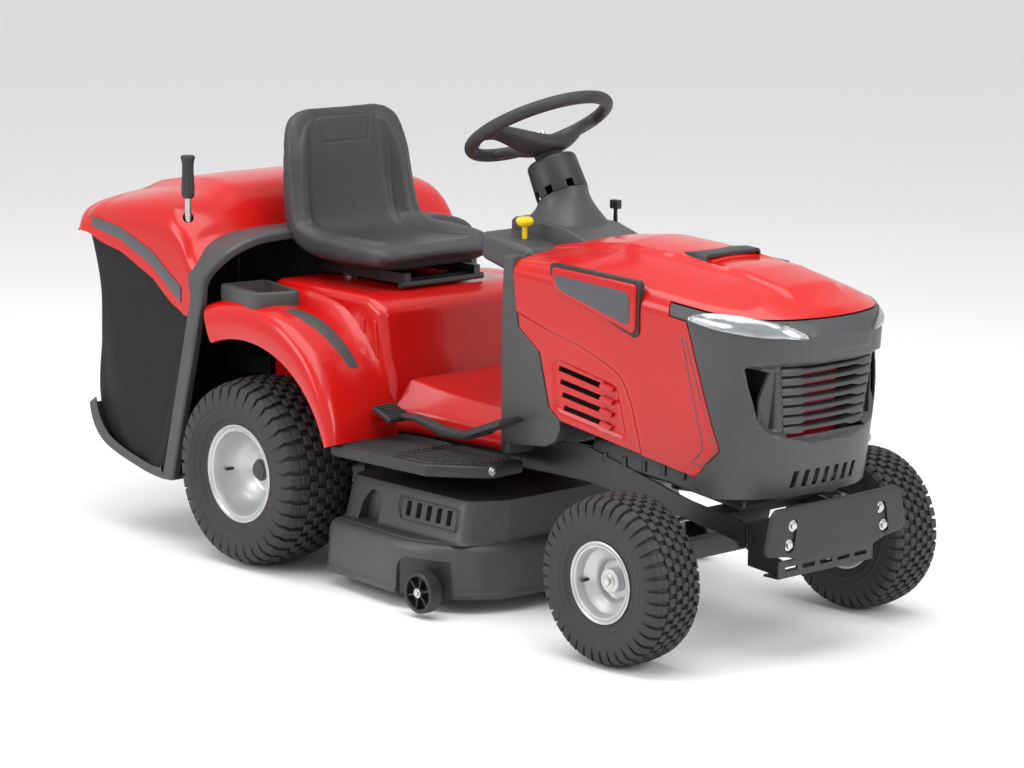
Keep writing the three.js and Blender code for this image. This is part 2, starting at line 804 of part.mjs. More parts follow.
function footrest(sign) {
  const outline = [[-125, 204], [306, 204], [312, 300], [262, 352], [196, 404], [-125, 416]];
  const points = sign > 0 ? outline : outline.map(([x, y]) => [x, -y]).reverse();
  const inner = [[-119, 210], [300, 210], [306, 297], [258, 347], [193, 398], [-119, 410]];
  const innerPoints = sign > 0 ? inner : inner.map(([x, y]) => [x, -y]).reverse();
  return cut(alongZ(points, footrestTop - 28, footrestTop), alongZ(innerPoints, footrestTop - 30, footrestTop - 5));
}

// A rocker: the front pad drives forward and the rear pad backward.
function drivePedal() {
  const arm = alongY(
    [[-40, 388], [20, 392], [110, 370], [190, 374], [262, 398], [262, 408], [190, 392], [120, 390], [20, 404], [-40, 400]],
    -284,
    -254,
  );
  const rearPad = alongY([[-84, 404], [-24, 384], [-20, 396], [-80, 416]], -318, -251);
  const frontPad = alongY([[222, 388], [346, 436], [342, 447], [218, 400]], -318, -251);
  return join(arm, rearPad, frontPad, bar([140, -284, 380], [140, -205, 380], 9, 10));
}

function brakePedal() {
  const arm = alongY([[132, 372], [148, 372], [296, 452], [290, 462], [132, 388]], 252, 272);
  const pad = alongY([[262, 420], [316, 472], [309, 480], [255, 428]], 238, 306);
  return join(arm, pad, bar([140, 205, 380], [140, 276, 380], 9, 10));
}

function liftLever() {
  const tilt = THREE.MathUtils.degToRad(24);
  const lever = join(
    block([-9, 9], [-3, 3], [-10, 190]),
    bar([0, 0, 168], [0, 0, 262], 15, 12),
    bar([0, -8, 0], [0, 8, 0], 14, 12),
  );
  return lever.rotateY(tilt).translate(-300, 345, 562);
}

add("rear_body", rearBody(), "red", 0.25);
add("storage_tray", storageTray(), "charcoal", 0.5);
add("footrest_right", footrest(-1), "blackSteel", 0.5, 0.2);
add("footrest_left", footrest(1), "blackSteel", 0.5, 0.2);
add("drive_pedal", drivePedal(), "blackSteel", 0.5);
add("brake_pedal", brakePedal(), "blackSteel", 0.5);
add("lift_lever", liftLever(), "blackSteel", 0.5);

// ---- Seat ----

function seatBracket() {
  const rail = (y) => block([-500, -200], [y - 9, y + 9], [664, 689]);
  return join(
    rail(-110),
    rail(110),
    block([-480, -440], [-110, 110], [664, 672]),
    block([-250, -220], [-110, 110], [664, 672]),
    bar([seat.hingeX, -130, seat.hingeZ], [seat.hingeX, 130, seat.hingeZ], 8, 10),
  );
}

function seatCushion() {
  const w = seat.halfWidth;
  // Stations run from the front edge of the cushion to the top of the back: [x, z, normal x, normal z, width, bolster].
  const stations = [
    [-192, 728, 0.94, 0.34, 0.86, 0],
    [-232, 752, 0.2, 0.98, 0.95, 10],
    [-340, 742, -0.05, 1, 1, 26],
    [-450, 742, 0.08, 1, 1, 34],
    [-520, 772, 0.7, 0.71, 1, 38],
    [-545, 840, 0.98, 0.2, 0.98, 34],
    [-556, 940, 0.99, 0.12, 0.93, 24],
    [-566, 1016, 0.99, 0.1, 0.85, 12],
    [-572, 1044, 0.8, 0.6, 0.62, 0],
  ];
  const thickness = (i) => [30, 50, 52, 50, 52, 46, 42, 34, 16][i];
  return loft(
    stations.map(([x, z, nx, nz, width, bolster], i) => {
      const t = thickness(i);
      const profile = [
        [-1, -t * 0.5],
        [-1, bolster * 0.6],
        [-0.84, bolster],
        [-0.6, 0],
        [0, -bolster * 0.1],
        [0.6, 0],
        [0.84, bolster],
        [1, bolster * 0.6],
        [1, -t * 0.5],
        [0.8, -t],
        [-0.8, -t],
      ];
      return profile.map(([y, n]) => [x + nx * n, y * w * width, z + nz * n]);
    }),
  );
}

function seatSpring() {
  return bar([-470, -60, 652.4], [-470, -60, 663.6], 18, 12);
}

add("seat_bracket", seatBracket(), "blackSteel", 0.5, 0.3);
add("seat_cushion", seatCushion(), "vinyl", 0.55);
add("seat_spring", seatSpring(), "steel", 0.4, 0.8);

// ---- Cutting deck ----

// Two blade circles side by side, squared off at the rear.
function deckPlan(inset, rear) {
  const r = deck.radius - inset;
  return [
    ...arc(deck.x, deck.bladeY, r, 70, -58, 9),
    ...arc(deck.x, -deck.bladeY, r, 58, -90, 10),
    [rear + inset + 60, -deck.bladeY - r],
    [rear + inset, -deck.bladeY - r + 60],
    [rear + inset, deck.bladeY + r - 60],
    [rear + inset + 60, deck.bladeY + r],
  ];
}

function deckShell() {
  const rear = -165;
  const dome = alongZ(deckPlan(0, rear), deck.bottom, deck.ledge);
  const hollow = alongZ(deckPlan(wall, rear), deck.bottom - 5, deck.ledge - wall);
  const mount = (sign) =>
    alongZ(
      sign > 0 ? [[150, 400], [215, 400], [215, 462], [150, 440]] : [[150, -440], [215, -462], [215, -400], [150, -400]],
      deck.ledge - 18,
      deck.ledge,
    );
  const fork = (sign) =>
    alongY(
      [[176, deck.ledge - 6], [160, 96], [deckWheel.x - 14, 46], [deckWheel.x + 12, 46], [deckWheel.x + 12, 70], [214, deck.ledge - 6]],
      Math.min(sign * 412, sign * 419),
      Math.max(sign * 412, sign * 419),
    );
  const pin = (sign) => bar([deckWheel.x, sign * 414, deckWheel.z], [deckWheel.x, sign * 462, deckWheel.z], 7, 10);
  const spindleHole = (sign) => alongZ(arc(deck.x, sign * deck.bladeY, 24, 0, 330, 11), deck.ledge - 20, deck.ledge + 20);
  const outlet = block([rear - 10, rear + 20], [-128, 128], [100, deck.ledge + 80]);
  const outletRoof = cut(
    block([rear, rear + 110], [-134, 134], [deck.ledge - wall, 214]),
    block([rear - 10, rear + 105], [-128, 128], [100, 208]),
  );
  const shell = cut(dome, hollow);
  const throat = block([rear - 10, rear + 105], [-128, 128], [100, 208]);
  return cut(
    join(shell, outletRoof, mount(-1), mount(1), fork(-1), fork(1), pin(-1), pin(1)),
    outlet,
    throat,
    spindleHole(-1),
    spindleHole(1),
  );
}

function deckCover() {
  const low = deck.ledge + 0.4;
  const ring = (z, y, rear, front) =>
    [[front - 60, -y], [front, 60 - y], [front, y - 60], [front - 60, y], [rear, y], [rear, -y]].map(([a, b]) => [a, b, z]);
  const outer = loft([ring(low, 352, -52, 268), ring(deck.coverTop, 300, -44, 240)]);
  const inner = loft([ring(low - 5, 344, -60, 260), ring(deck.coverTop - wall, 292, -60, 232)]);
  const slot = (sign, i) => block([64 + i * 32, 80 + i * 32], sign < 0 ? [-360, -300] : [300, 360], [190, 222]);
  const slots = [-1, 1].flatMap((sign) => [0, 1, 2, 3, 4].map((i) => slot(sign, i)));
  return cut(outer, inner, ...slots);
}

function blade(sign) {
  const z = deck.bottom + 18;
  const y = sign * deck.bladeY;
  const spindle = turned([[0, 212 - z], [14, 212 - z], [14, 0], [0, 0]].reverse(), 12);
  const pulley = turned([[0, 200 - z], [62, 200 - z], [48, 190 - z], [62, 178 - z], [0, 178 - z]].reverse(), 18);
  const knife = block([-deck.bladeRadius, deck.bladeRadius], [-26, 26], [-2.5, 2.5]);
  const parts = join(spindle, pulley).rotateX(Math.PI / 2);
  return join(parts, knife).translate(deck.x, y, z);
}

function castorWheel(sign) {
  const { x, y, z, radius, width } = deckWheel;
  const half = width / 2;
  const profile = [[9, -half], [radius - 5, -half], [radius, -half + 6], [radius, half - 6], [radius - 5, half], [9, half], [9, -half]];
  return turned(profile, 24).translate(x, sign * y, z);
}

add("deck_shell", deckShell(), "blackSteel", 0.45, 0.2);
add("deck_cover", deckCover(), "darkPlastic", 0.5);
add("blade_right", blade(-1), "steel", 0.4, 0.8);
add("blade_left", blade(1), "steel", 0.4, 0.8);
add("deck_wheel_right", castorWheel(-1), "darkPlastic", 0.6);
add("deck_wheel_left", castorWheel(1), "darkPlastic", 0.6);

// ---- Grass bag ----

// How far the bag's front leans, above and below its bend.
function mouthLean(z) {
  return z < bag.bendZ ? (z - bag.bendZ) * bag.lean : (bag.bendZ - z) * 0.05;
}

// The mouth's front line, with the heights that it passes, set back by a depth.
function mouthLine(heights, back) {
  return heights.map((z) => [bag.mouthX - back + mouthLean(z), z]);
}

// A ring round the mouth, with arms back to the cross tube that it tips on.
function bagFrame() {
  const depth = 44;
  const band = (heights) => [...mouthLine(heights, 0), ...mouthLine([...heights].reverse(), depth)];
  const outline = [
    [-434, 185],
    [434, 185],
    [440, bag.bendZ],
    [412, 704],
    [340, 744],
    [-340, 744],
    [-412, 704],
    [-440, bag.bendZ],
  ];
  const ring = join(
    alongY(band([185, bag.bendZ, 744]), -440, -397),
    alongY(band([185, bag.bendZ, 744]), 397, 440),
    alongY(band([185, 222]), -420, 420),
    alongY(band([704, 744]), -420, 420),
  );
  const arm = (sign) =>
    alongY([[-606, 650], [-600, 684], [-732, 732], [-754, 722], [-744, 704]], sign * 410 - 3, sign * 410 + 3);
  const tube = bar([bag.pivotX, -410, bag.pivotZ], [bag.pivotX, 410, bag.pivotZ], 8, 12);
  return join(common(ring, alongX(outline, -800, -500)), arm(-1), arm(1), tube);
}

// A tub of mesh fabric, open at the mouth and under the lid.
function bagFabric() {
  const side = (inset) => [
    [-1018 + inset, 728],
    [-988 + inset, 561],
    [-1018 + inset, 440],
    [-1029 + inset, 340],
    [-1003 + inset, 236 + inset],
    [-934, 196 + inset],
    [-860, 178 + inset],
  ];
  const front = [...mouthLine([162, bag.bendZ, 640], 45), [-700, 690], [-780, 728]];
  const inside = [[-500, 162], [-500, 760], [-1018 + wall, 760]];
  const halfWidth = bag.halfWidth - 3;
  const outer = alongY([...side(0), ...front], -halfWidth, halfWidth);
  const inner = alongY([...side(wall), ...inside], wall - halfWidth, halfWidth - wall);
  return cut(outer, inner);
}

function lidRing(x, top, floor, inset) {
  const w = bagLid.halfWidth - inset;
  const t = top - inset;
  const half = [
    [w, floor],
    [w, t - 82],
    [w - 12, t - 50],
    [w - 46, t - 26],
    [w - 120, t - 10],
    [w - 260, t - 2],
  ];
  return [...half, [0, t], ...half.map(([y, z]) => [-y, z]).reverse()].map(([y, z]) => [x, y, z]);
}

// The hard lid hangs over the fabric's sides, lower towards the front.
function bagLidShell() {
  const stations = [
    [bag.rear - 5, 786],
    [-1042, 812],
    [-960, 842],
    [-820, bagLid.crown],
    [-700, 856],
    [-640, 800],
    [-609, 751],
  ];
  const rings = (inset) =>
    stations.map(([x, top], i) => {
      const shift = i === 0 ? inset : i === stations.length - 1 ? 3 * inset : 0;
      return lidRing(x + shift, top, 540 - 2 * inset, inset);
    });
  const shell = cut(loft(rings(0)), loft(rings(wall)));
  const edge = alongY(
    [[-1100, 500], [-1100, 726], [-1028, 728], [-887, 701], [-760, 650], [-690, 600], [-640, 566], [-560, 566], [-560, 500]],
    -500,
    500,
  );
  const front = alongY([...mouthLine([500, bag.bendZ, 900], 45), [-400, 900], [-400, 500]], -500, 500);
  const leverHole = bar([tippingLever.x, tippingLever.y, 640], [tippingLever.x, tippingLever.y, 900], 11, 12);
  return cut(shell, edge, front, leverHole);
}

function tippingRod() {
  const { x, y, low, joint, rod } = tippingLever;
  return bar([x, y, low], [x, y, joint + 20], rod, 12);
}

function tippingGrip() {
  const { x, y, joint, top, grip } = tippingLever;
  const profile = [[9, 0], [14, 0], [grip, 14], [grip - 2, 60], [grip + 2, 84], [grip - 2, top - joint]];
  const closed = [...profile, [0, top - joint], [0, 21], [9, 21], [9, 0]];
  return turned(closed, 14).rotateX(Math.PI / 2).translate(x, y, joint);
}

add("bag_frame", bagFrame(), "charcoal", 0.5);
add("bag_fabric", bagFabric(), "mesh", 0.9);
add("bag_lid", bagLidShell(), "red", 0.25);
add("tipping_lever", tippingRod(), "steel", 0.3, 0.9);
add("tipping_grip", tippingGrip(), "darkPlastic", 0.6);

export default part;
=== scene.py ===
import math

import bpy
from mathutils import Matrix, Vector


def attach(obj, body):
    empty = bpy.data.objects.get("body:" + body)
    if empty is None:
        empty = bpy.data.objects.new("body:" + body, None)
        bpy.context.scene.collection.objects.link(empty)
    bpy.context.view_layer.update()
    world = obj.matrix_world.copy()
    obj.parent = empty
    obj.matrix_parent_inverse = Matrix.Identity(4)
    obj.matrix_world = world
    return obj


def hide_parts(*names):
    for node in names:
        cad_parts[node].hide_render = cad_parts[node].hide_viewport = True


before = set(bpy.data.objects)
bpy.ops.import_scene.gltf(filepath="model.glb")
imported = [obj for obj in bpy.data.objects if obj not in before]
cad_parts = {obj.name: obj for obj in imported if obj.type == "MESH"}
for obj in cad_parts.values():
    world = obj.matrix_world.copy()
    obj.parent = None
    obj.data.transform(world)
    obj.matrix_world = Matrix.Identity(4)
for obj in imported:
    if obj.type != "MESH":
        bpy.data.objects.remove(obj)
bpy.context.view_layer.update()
mm = 0.001  # sizes in the settings below are millimetres
print("frame loaded")


# Making and shaping

def clearSelection():
    if bpy.context.object and bpy.context.object.mode != "OBJECT":
        bpy.ops.object.mode_set(mode="OBJECT")
    bpy.ops.object.select_all(action="DESELECT")


def pick(*pieces):
    clearSelection()
    for piece in pieces:
        piece.select_set(True)
    bpy.context.view_layer.objects.active = pieces[0]
    return pieces[0]


def newPiece(name):
    piece = bpy.context.object
    piece.name = name
    piece.data.name = name
    return piece


def place(piece, points):
    piece.data.vertices.foreach_set("co", [value * mm for point in points for value in point])
    piece.data.update()


def mend(piece, merge=0.02):
    pick(piece)
    bpy.ops.object.mode_set(mode="EDIT")
    bpy.ops.mesh.select_all(action="SELECT")
    bpy.ops.mesh.remove_doubles(threshold=merge * mm)
    bpy.ops.mesh.normals_make_consistent(inside=False)
    bpy.ops.object.mode_set(mode="OBJECT")
    return piece


def modify(piece, kind, **settings):
    pick(piece)
    modifier = piece.modifiers.new(kind.title(), kind)
    for key, value in settings.items():
        setattr(modifier, key, value)
    bpy.ops.object.modifier_apply(modifier=modifier.name)
    return piece


def softEdges(piece, width, segments=3, angle=30):
    return modify(
        piece, "BEVEL", width=width * mm, segments=segments, limit_method="ANGLE",
        angle_limit=math.radians(angle), miter_outer="MITER_ARC",
    )


def thicken(piece, thickness, offset=-1, even=True):
    return modify(piece, "SOLIDIFY", thickness=thickness * mm, offset=offset, use_even_offset=even)


def cutAway(piece, *cutters):
    for cutter in cutters:
        modify(piece, "BOOLEAN", operation="DIFFERENCE", solver="EXACT", object=cutter)
        bpy.data.objects.remove(cutter)
    return piece


def keepInside(piece, region):
    modify(piece, "BOOLEAN", operation="INTERSECT", solver="EXACT", object=region)
    bpy.data.objects.remove(region)
    return piece


def together(name, *pieces):
    pick(*pieces)
    bpy.ops.object.join()
    return newPiece(name)


def copyOf(piece, name, change=None):
    pick(piece)
    bpy.ops.object.duplicate()
    copy = newPiece(name)
    if change is not None:
        copy.data.transform(change)
        if change.determinant() < 0:
            bpy.ops.object.mode_set(mode="EDIT")
            bpy.ops.mesh.select_all(action="SELECT")
            bpy.ops.mesh.flip_normals()
            bpy.ops.object.mode_set(mode="OBJECT")
    return copy


acrossMachine = Matrix.Scale(-1, 4, (0, 1, 0))  # swaps the right side for the left


# Left copies of right-hand pieces, then those pieces themselves.
def bothSides(*pieces):
    copies = [copyOf(piece, piece.name.replace("right", "left"), acrossMachine) for piece in pieces]
    return ("left", copies), ("right", pieces)


def smoothLook(piece, angle=32):
    pick(piece)
    bpy.ops.object.shade_smooth_by_angle(angle=math.radians(angle))
    return piece


def fit(piece, body, material, slot, *nodes, angle=32):
    smoothLook(piece, angle)
    piece.data.materials.clear()
    piece.data.materials.append(material)
    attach(piece, body)
    if nodes:
        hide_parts(*nodes)
    return piece


# A skin over equal rows of points.
def skin(name, rows, closed=True, capped=True):
    lines = [list(row) + [row[0]] if closed else list(row) for row in rows]
    clearSelection()
    bpy.ops.mesh.primitive_grid_add(x_subdivisions=len(lines[0]) - 1, y_subdivisions=len(lines) - 1)
    piece = newPiece(name)
    place(piece, [point for line in lines for point in line])
    if capped:
        bpy.ops.object.mode_set(mode="EDIT")
        bpy.ops.mesh.select_all(action="SELECT")
        bpy.ops.mesh.remove_doubles(threshold=0.02 * mm)
        bpy.ops.mesh.fill_holes(sides=0)
        bpy.ops.object.mode_set(mode="OBJECT")
    return mend(piece)


# A flat outline pulled along one axis.
def plate(name, outline, axis, low, high):
    clearSelection()
    bpy.ops.mesh.primitive_circle_add(vertices=len(outline), fill_type="NGON")
    piece = newPiece(name)
    put = {
        "X": lambda a, b: (low, a, b),
        "Y": lambda a, b: (a, low, b),
        "Z": lambda a, b: (a, b, low),
    }[axis]
    place(piece, [put(a, b) for a, b in outline])
    pull = [(high - low) * mm if axis == letter else 0 for letter in "XYZ"]
    bpy.ops.object.mode_set(mode="EDIT")
    bpy.ops.mesh.select_all(action="SELECT")
    bpy.ops.mesh.extrude_region_move(TRANSFORM_OT_translate={"value": pull})
    bpy.ops.object.mode_set(mode="OBJECT")
    return mend(piece)


def box(name, x, y, z):
    return plate(name, [(x[0], y[0]), (x[1], y[0]), (x[1], y[1]), (x[0], y[1])], "Z", z[0], z[1])


# A profile of (radius, height along the axis) spun round an axis through centre.
def spun(name, profile, centre, axis=(0, 1, 0), steps=64):
    along = Vector(axis).normalized()
    outward = along.orthogonal().normalized()
    clearSelection()
    bpy.ops.mesh.primitive_circle_add(vertices=len(profile))
    piece = newPiece(name)
    place(piece, [Vector(centre) + outward * r + along * h for r, h in profile])
    bpy.ops.object.mode_set(mode="EDIT")
    bpy.ops.mesh.select_all(action="SELECT")
    middle = [value * mm for value in centre]
    bpy.ops.mesh.spin(steps=steps, angle=2 * math.pi, center=middle, axis=tuple(along))
    bpy.ops.object.mode_set(mode="OBJECT")
    return mend(piece)


def rod(name, points, radius, closed=False, sides=4):
    clearSelection()
    line = bpy.data.curves.new(name, "CURVE")
    line.dimensions = "3D"
    spline = line.splines.new("POLY")
    spline.points.add(len(points) - 1)
    for knot, point in zip(spline.points, points):
        knot.co = (*[value * mm for value in point], 1)
    spline.use_cyclic_u = closed
    line.bevel_depth = radius * mm
    line.bevel_resolution = sides
    line.use_fill_caps = True
    piece = bpy.data.objects.new(name, line)
    bpy.context.scene.collection.objects.link(piece)
    pick(piece)
    bpy.ops.object.convert(target="MESH")
    return mend(newPiece(name))


def between(a, b, share):
    return a + (b - a) * share


def ease(low, high, value):
    share = min(1.0, max(0.0, (value - low) / (high - low)))
    return share * share * (3 - 2 * share)


# Height at one place of the straight runs between (place, height) pairs.
def follow(pairs, value):
    if value <= pairs[0][0]:
        return pairs[0][1]
    for (a, za), (b, zb) in zip(pairs, pairs[1:]):
        if value <= b:
            return between(za, zb, (value - a) / (b - a))
    return pairs[-1][1]


# A rounded line through points, as a Catmull-Rom curve.
def through(points, steps=6, closed=False):
    found = []
    count = len(points)
    for i in range(count if closed else count - 1):
        quad = [points[(i + k) % count] if closed else points[min(max(i + k, 0), count - 1)]
                for k in (-1, 0, 1, 2)]
        for s in range(steps):
            t = s / steps
            weights = (
                -t * (1 - t) ** 2 / 2,
                (3 * t ** 3 - 5 * t ** 2 + 2) / 2,
                (4 * t ** 2 - 3 * t ** 3 + t) / 2,
                (t ** 3 - t ** 2) / 2,
            )
            found.append(tuple(sum(w * p[k] for w, p in zip(weights, quad)) for k in range(len(points[0]))))
    return found if closed else found + [tuple(points[-1])]


# Corner points with each corner turned into an arc.
def rounded(corners, radius, steps=5):
    found = []
    for i, corner in enumerate(corners):
        here = Vector(corner)
        before = Vector(corners[i - 1]) - here
        after = Vector(corners[(i + 1) % len(corners)]) - here
        half = before.angle(after) / 2
        reach = min(radius / math.tan(half), before.length * 0.48, after.length * 0.48)
        start, end = here + before.normalized() * reach, here + after.normalized() * reach
        for s in range(steps + 1):
            t = s / steps
            point = start * (1 - t) ** 2 + here * 2 * t * (1 - t) + end * t * t
            found.append(tuple(point))
    return found


# Camera, floor and lights

studio = {
    "eye": (5757.2, -5348.7, 1908.2), "target": (43, 0, 448), "roll": 0.605, "lens": 120.5,
    "floor": (0.9, 0.9, 0.9), "sky": 0.78,
    "lights": {  # place, aim, size and power
        "topLight": ((0.3, -0.6, 4.2), (0, 0, 0.4), (5.5, 3.2), 165),
        "frontLight": ((4.6, 0.6, 2.4), (0.3, 0, 0.5), (1.6, 2.6), 75),
        "sideLight": ((-1.6, -4.6, 2.6), (-0.1, 0, 0.4), (3.4, 1.8), 85),
    },
}


def setCamera():
    eye, target = Vector(studio["eye"]) * mm, Vector(studio["target"]) * mm
    ahead = (target - eye).normalized()
    right = ahead.cross(Vector((0, 0, 1))).normalized()
    up = right.cross(ahead)
    roll = math.radians(studio["roll"])
    across = right * math.cos(roll) + up * math.sin(roll)
    upright = up * math.cos(roll) - right * math.sin(roll)
    bpy.ops.object.camera_add()
    camera = bpy.context.object
    camera.name = "viewCamera"
    turn = Matrix((across, upright, -ahead)).transposed().to_4x4()
    camera.matrix_world = Matrix.Translation(eye) @ turn
    camera.data.lens = studio["lens"]
    camera.data.sensor_width = 36
    camera.data.clip_end = 100
    bpy.context.scene.camera = camera


def areaLight(name, at, aim, size, power):
    bpy.ops.object.light_add(type="AREA", location=at)
    light = bpy.context.object
    light.name = name
    light.data.shape = "RECTANGLE"
    light.data.size, light.data.size_y = size
    light.data.energy = power
    light.rotation_euler = (Vector(aim) - Vector(at)).to_track_quat("-Z", "Y").to_euler()


def setStage():
    bpy.ops.mesh.primitive_plane_add(size=60)
    floor = newPiece("studio_floor")
    paper = bpy.data.materials.new("studioPaper")
    paper.use_nodes = True
    shader = paper.node_tree.nodes["Principled BSDF"]
    shader.inputs["Base Color"].default_value = (*studio["floor"], 1)
    shader.inputs["Roughness"].default_value = 0.9
    shader.inputs["Specular IOR Level"].default_value = 0.1
    floor.data.materials.append(paper)
    world = bpy.data.worlds.new("studioWorld")
    world.use_nodes = True
    background = world.node_tree.nodes["Background"]
    background.inputs["Color"].default_value = (1, 1, 1, 1)
    background.inputs["Strength"].default_value = studio["sky"]
    bpy.context.scene.world = world
    for name, settings in studio["lights"].items():
        areaLight(name, *settings)


setCamera()
setStage()
print("camera and stage set")


# Finishes

def freshMaterial(name):
    material = bpy.data.materials.new(name)
    material.use_nodes = True
    material.node_tree.nodes.clear()
    return material, material.node_tree.nodes, material.node_tree.links


def lineUp(*columns):
    for x, column in enumerate(columns):
        for y, node in enumerate(column):
            node.location = (x * 240, -y * 260)


def frameUp(nodes, label, *members):
    panel = nodes.new("NodeFrame")
    panel.label = label
    for member in members:
        member.parent = panel


# Shiny moulded or painted cover, with a faint ripple and small changes of tone.
def glossCover(name, colour, roughness=0.24, coat=0.5):
    material, nodes, links = freshMaterial(name)
    ownPlace = nodes.new("ShaderNodeTexCoord")
    ownPlace.label = "Place on the cover"
    tone = nodes.new("ShaderNodeTexNoise")
    tone.label = "Slow change of tone"
    tone.inputs["Scale"].default_value = 3.5
    tone.inputs["Detail"].default_value = 3
    shade = nodes.new("ShaderNodeMix")
    shade.label = "Deeper and lighter colour"
    shade.data_type = "RGBA"
    shade.inputs[6].default_value = (*[c * 0.9 for c in colour], 1)
    shade.inputs[7].default_value = (*[min(1, c * 1.08) for c in colour], 1)
    ripple = nodes.new("ShaderNodeTexNoise")
    ripple.label = "Ripple of the moulding"
    ripple.inputs["Scale"].default_value = 38
    ripple.inputs["Detail"].default_value = 2
    lift = nodes.new("ShaderNodeBump")
    lift.label = "Ripple height"
    lift.inputs["Strength"].default_value = 0.02
    lift.inputs["Distance"].default_value = 0.002
    wipe = nodes.new("ShaderNodeTexNoise")
    wipe.label = "Handling marks"
    wipe.inputs["Scale"].default_value = 14
    wipe.inputs["Detail"].default_value = 6
    polish = nodes.new("ShaderNodeMapRange")
    polish.label = "Polish"
    polish.inputs["To Min"].default_value = roughness * 0.85
    polish.inputs["To Max"].default_value = roughness * 1.2
    cover = nodes.new("ShaderNodeBsdfPrincipled")
    cover.label = "Cover"
    cover.inputs["Coat Weight"].default_value = coat
    cover.inputs["Coat Roughness"].default_value = 0.06
    cover.inputs["Specular IOR Level"].default_value = 0.35
    output = nodes.new("ShaderNodeOutputMaterial")
    output.label = "Surface"
    lineUp([ownPlace], [tone, wipe, ripple], [shade, polish, lift], [cover], [output])
    frameUp(nodes, "Colour", tone, shade)
    frameUp(nodes, "Shine", wipe, polish)
    frameUp(nodes, "Surface ripple", ripple, lift)
    links.new(ownPlace.outputs["Object"], tone.inputs["Vector"])
    links.new(ownPlace.outputs["Object"], ripple.inputs["Vector"])
    links.new(ownPlace.outputs["Object"], wipe.inputs["Vector"])
    links.new(tone.outputs["Fac"], shade.inputs[0])
    links.new(shade.outputs[2], cover.inputs["Base Color"])
    links.new(wipe.outputs["Fac"], polish.inputs["Value"])
    links.new(polish.outputs["Result"], cover.inputs["Roughness"])
    links.new(ripple.outputs["Fac"], lift.inputs["Height"])
    links.new(lift.outputs["Normal"], cover.inputs["Normal"])
    links.new(cover.outputs["BSDF"], output.inputs["Surface"])
    return material


# Satin plastic with a moulded-in grain.
def grainedPlastic(name, colour, roughness=0.48, grain=900, depth=0.12):
    material, nodes, links = freshMaterial(name)
    ownPlace = nodes.new("ShaderNodeTexCoord")
    ownPlace.label = "Place on the moulding"
    tone = nodes.new("ShaderNodeTexNoise")
    tone.label = "Slow change of tone"
    tone.inputs["Scale"].default_value = 5
    tone.inputs["Detail"].default_value = 4
    shade = nodes.new("ShaderNodeMix")
    shade.label = "Plastic colour"
    shade.data_type = "RGBA"
    shade.inputs[6].default_value = (*[c * 0.82 for c in colour], 1)
    shade.inputs[7].default_value = (*[min(1, c * 1.18) for c in colour], 1)
    cells = nodes.new("ShaderNodeTexVoronoi")
    cells.label = "Grain cells"
    cells.inputs["Scale"].default_value = grain
    lift = nodes.new("ShaderNodeBump")
    lift.label = "Grain depth"
    lift.inputs["Strength"].default_value = depth
    lift.inputs["Distance"].default_value = 0.0004
    wipe = nodes.new("ShaderNodeTexNoise")
    wipe.label = "Handling marks"
    wipe.inputs["Scale"].default_value = 22
    wipe.inputs["Detail"].default_value = 5
    polish = nodes.new("ShaderNodeMapRange")
    polish.label = "Sheen"
    polish.inputs["To Min"].default_value = roughness * 0.85
    polish.inputs["To Max"].default_value = roughness * 1.18
    plastic = nodes.new("ShaderNodeBsdfPrincipled")
    plastic.label = "Plastic"
    output = nodes.new("ShaderNodeOutputMaterial")
    output.label = "Surface"
    lineUp([ownPlace], [tone, wipe, cells], [shade, polish, lift], [plastic], [output])
    frameUp(nodes, "Colour", tone, shade)
    frameUp(nodes, "Sheen", wipe, polish)
    frameUp(nodes, "Moulded grain", cells, lift)
    links.new(ownPlace.outputs["Object"], tone.inputs["Vector"])
    links.new(ownPlace.outputs["Object"], cells.inputs["Vector"])
    links.new(ownPlace.outputs["Object"], wipe.inputs["Vector"])
    links.new(tone.outputs["Fac"], shade.inputs[0])
    links.new(shade.outputs[2], plastic.inputs["Base Color"])
    links.new(wipe.outputs["Fac"], polish.inputs["Value"])
    links.new(polish.outputs["Result"], plastic.inputs["Roughness"])
    links.new(cells.outputs["Distance"], lift.inputs["Height"])
    links.new(lift.outputs["Normal"], plastic.inputs["Normal"])
    links.new(plastic.outputs["BSDF"], output.inputs["Surface"])
    return material


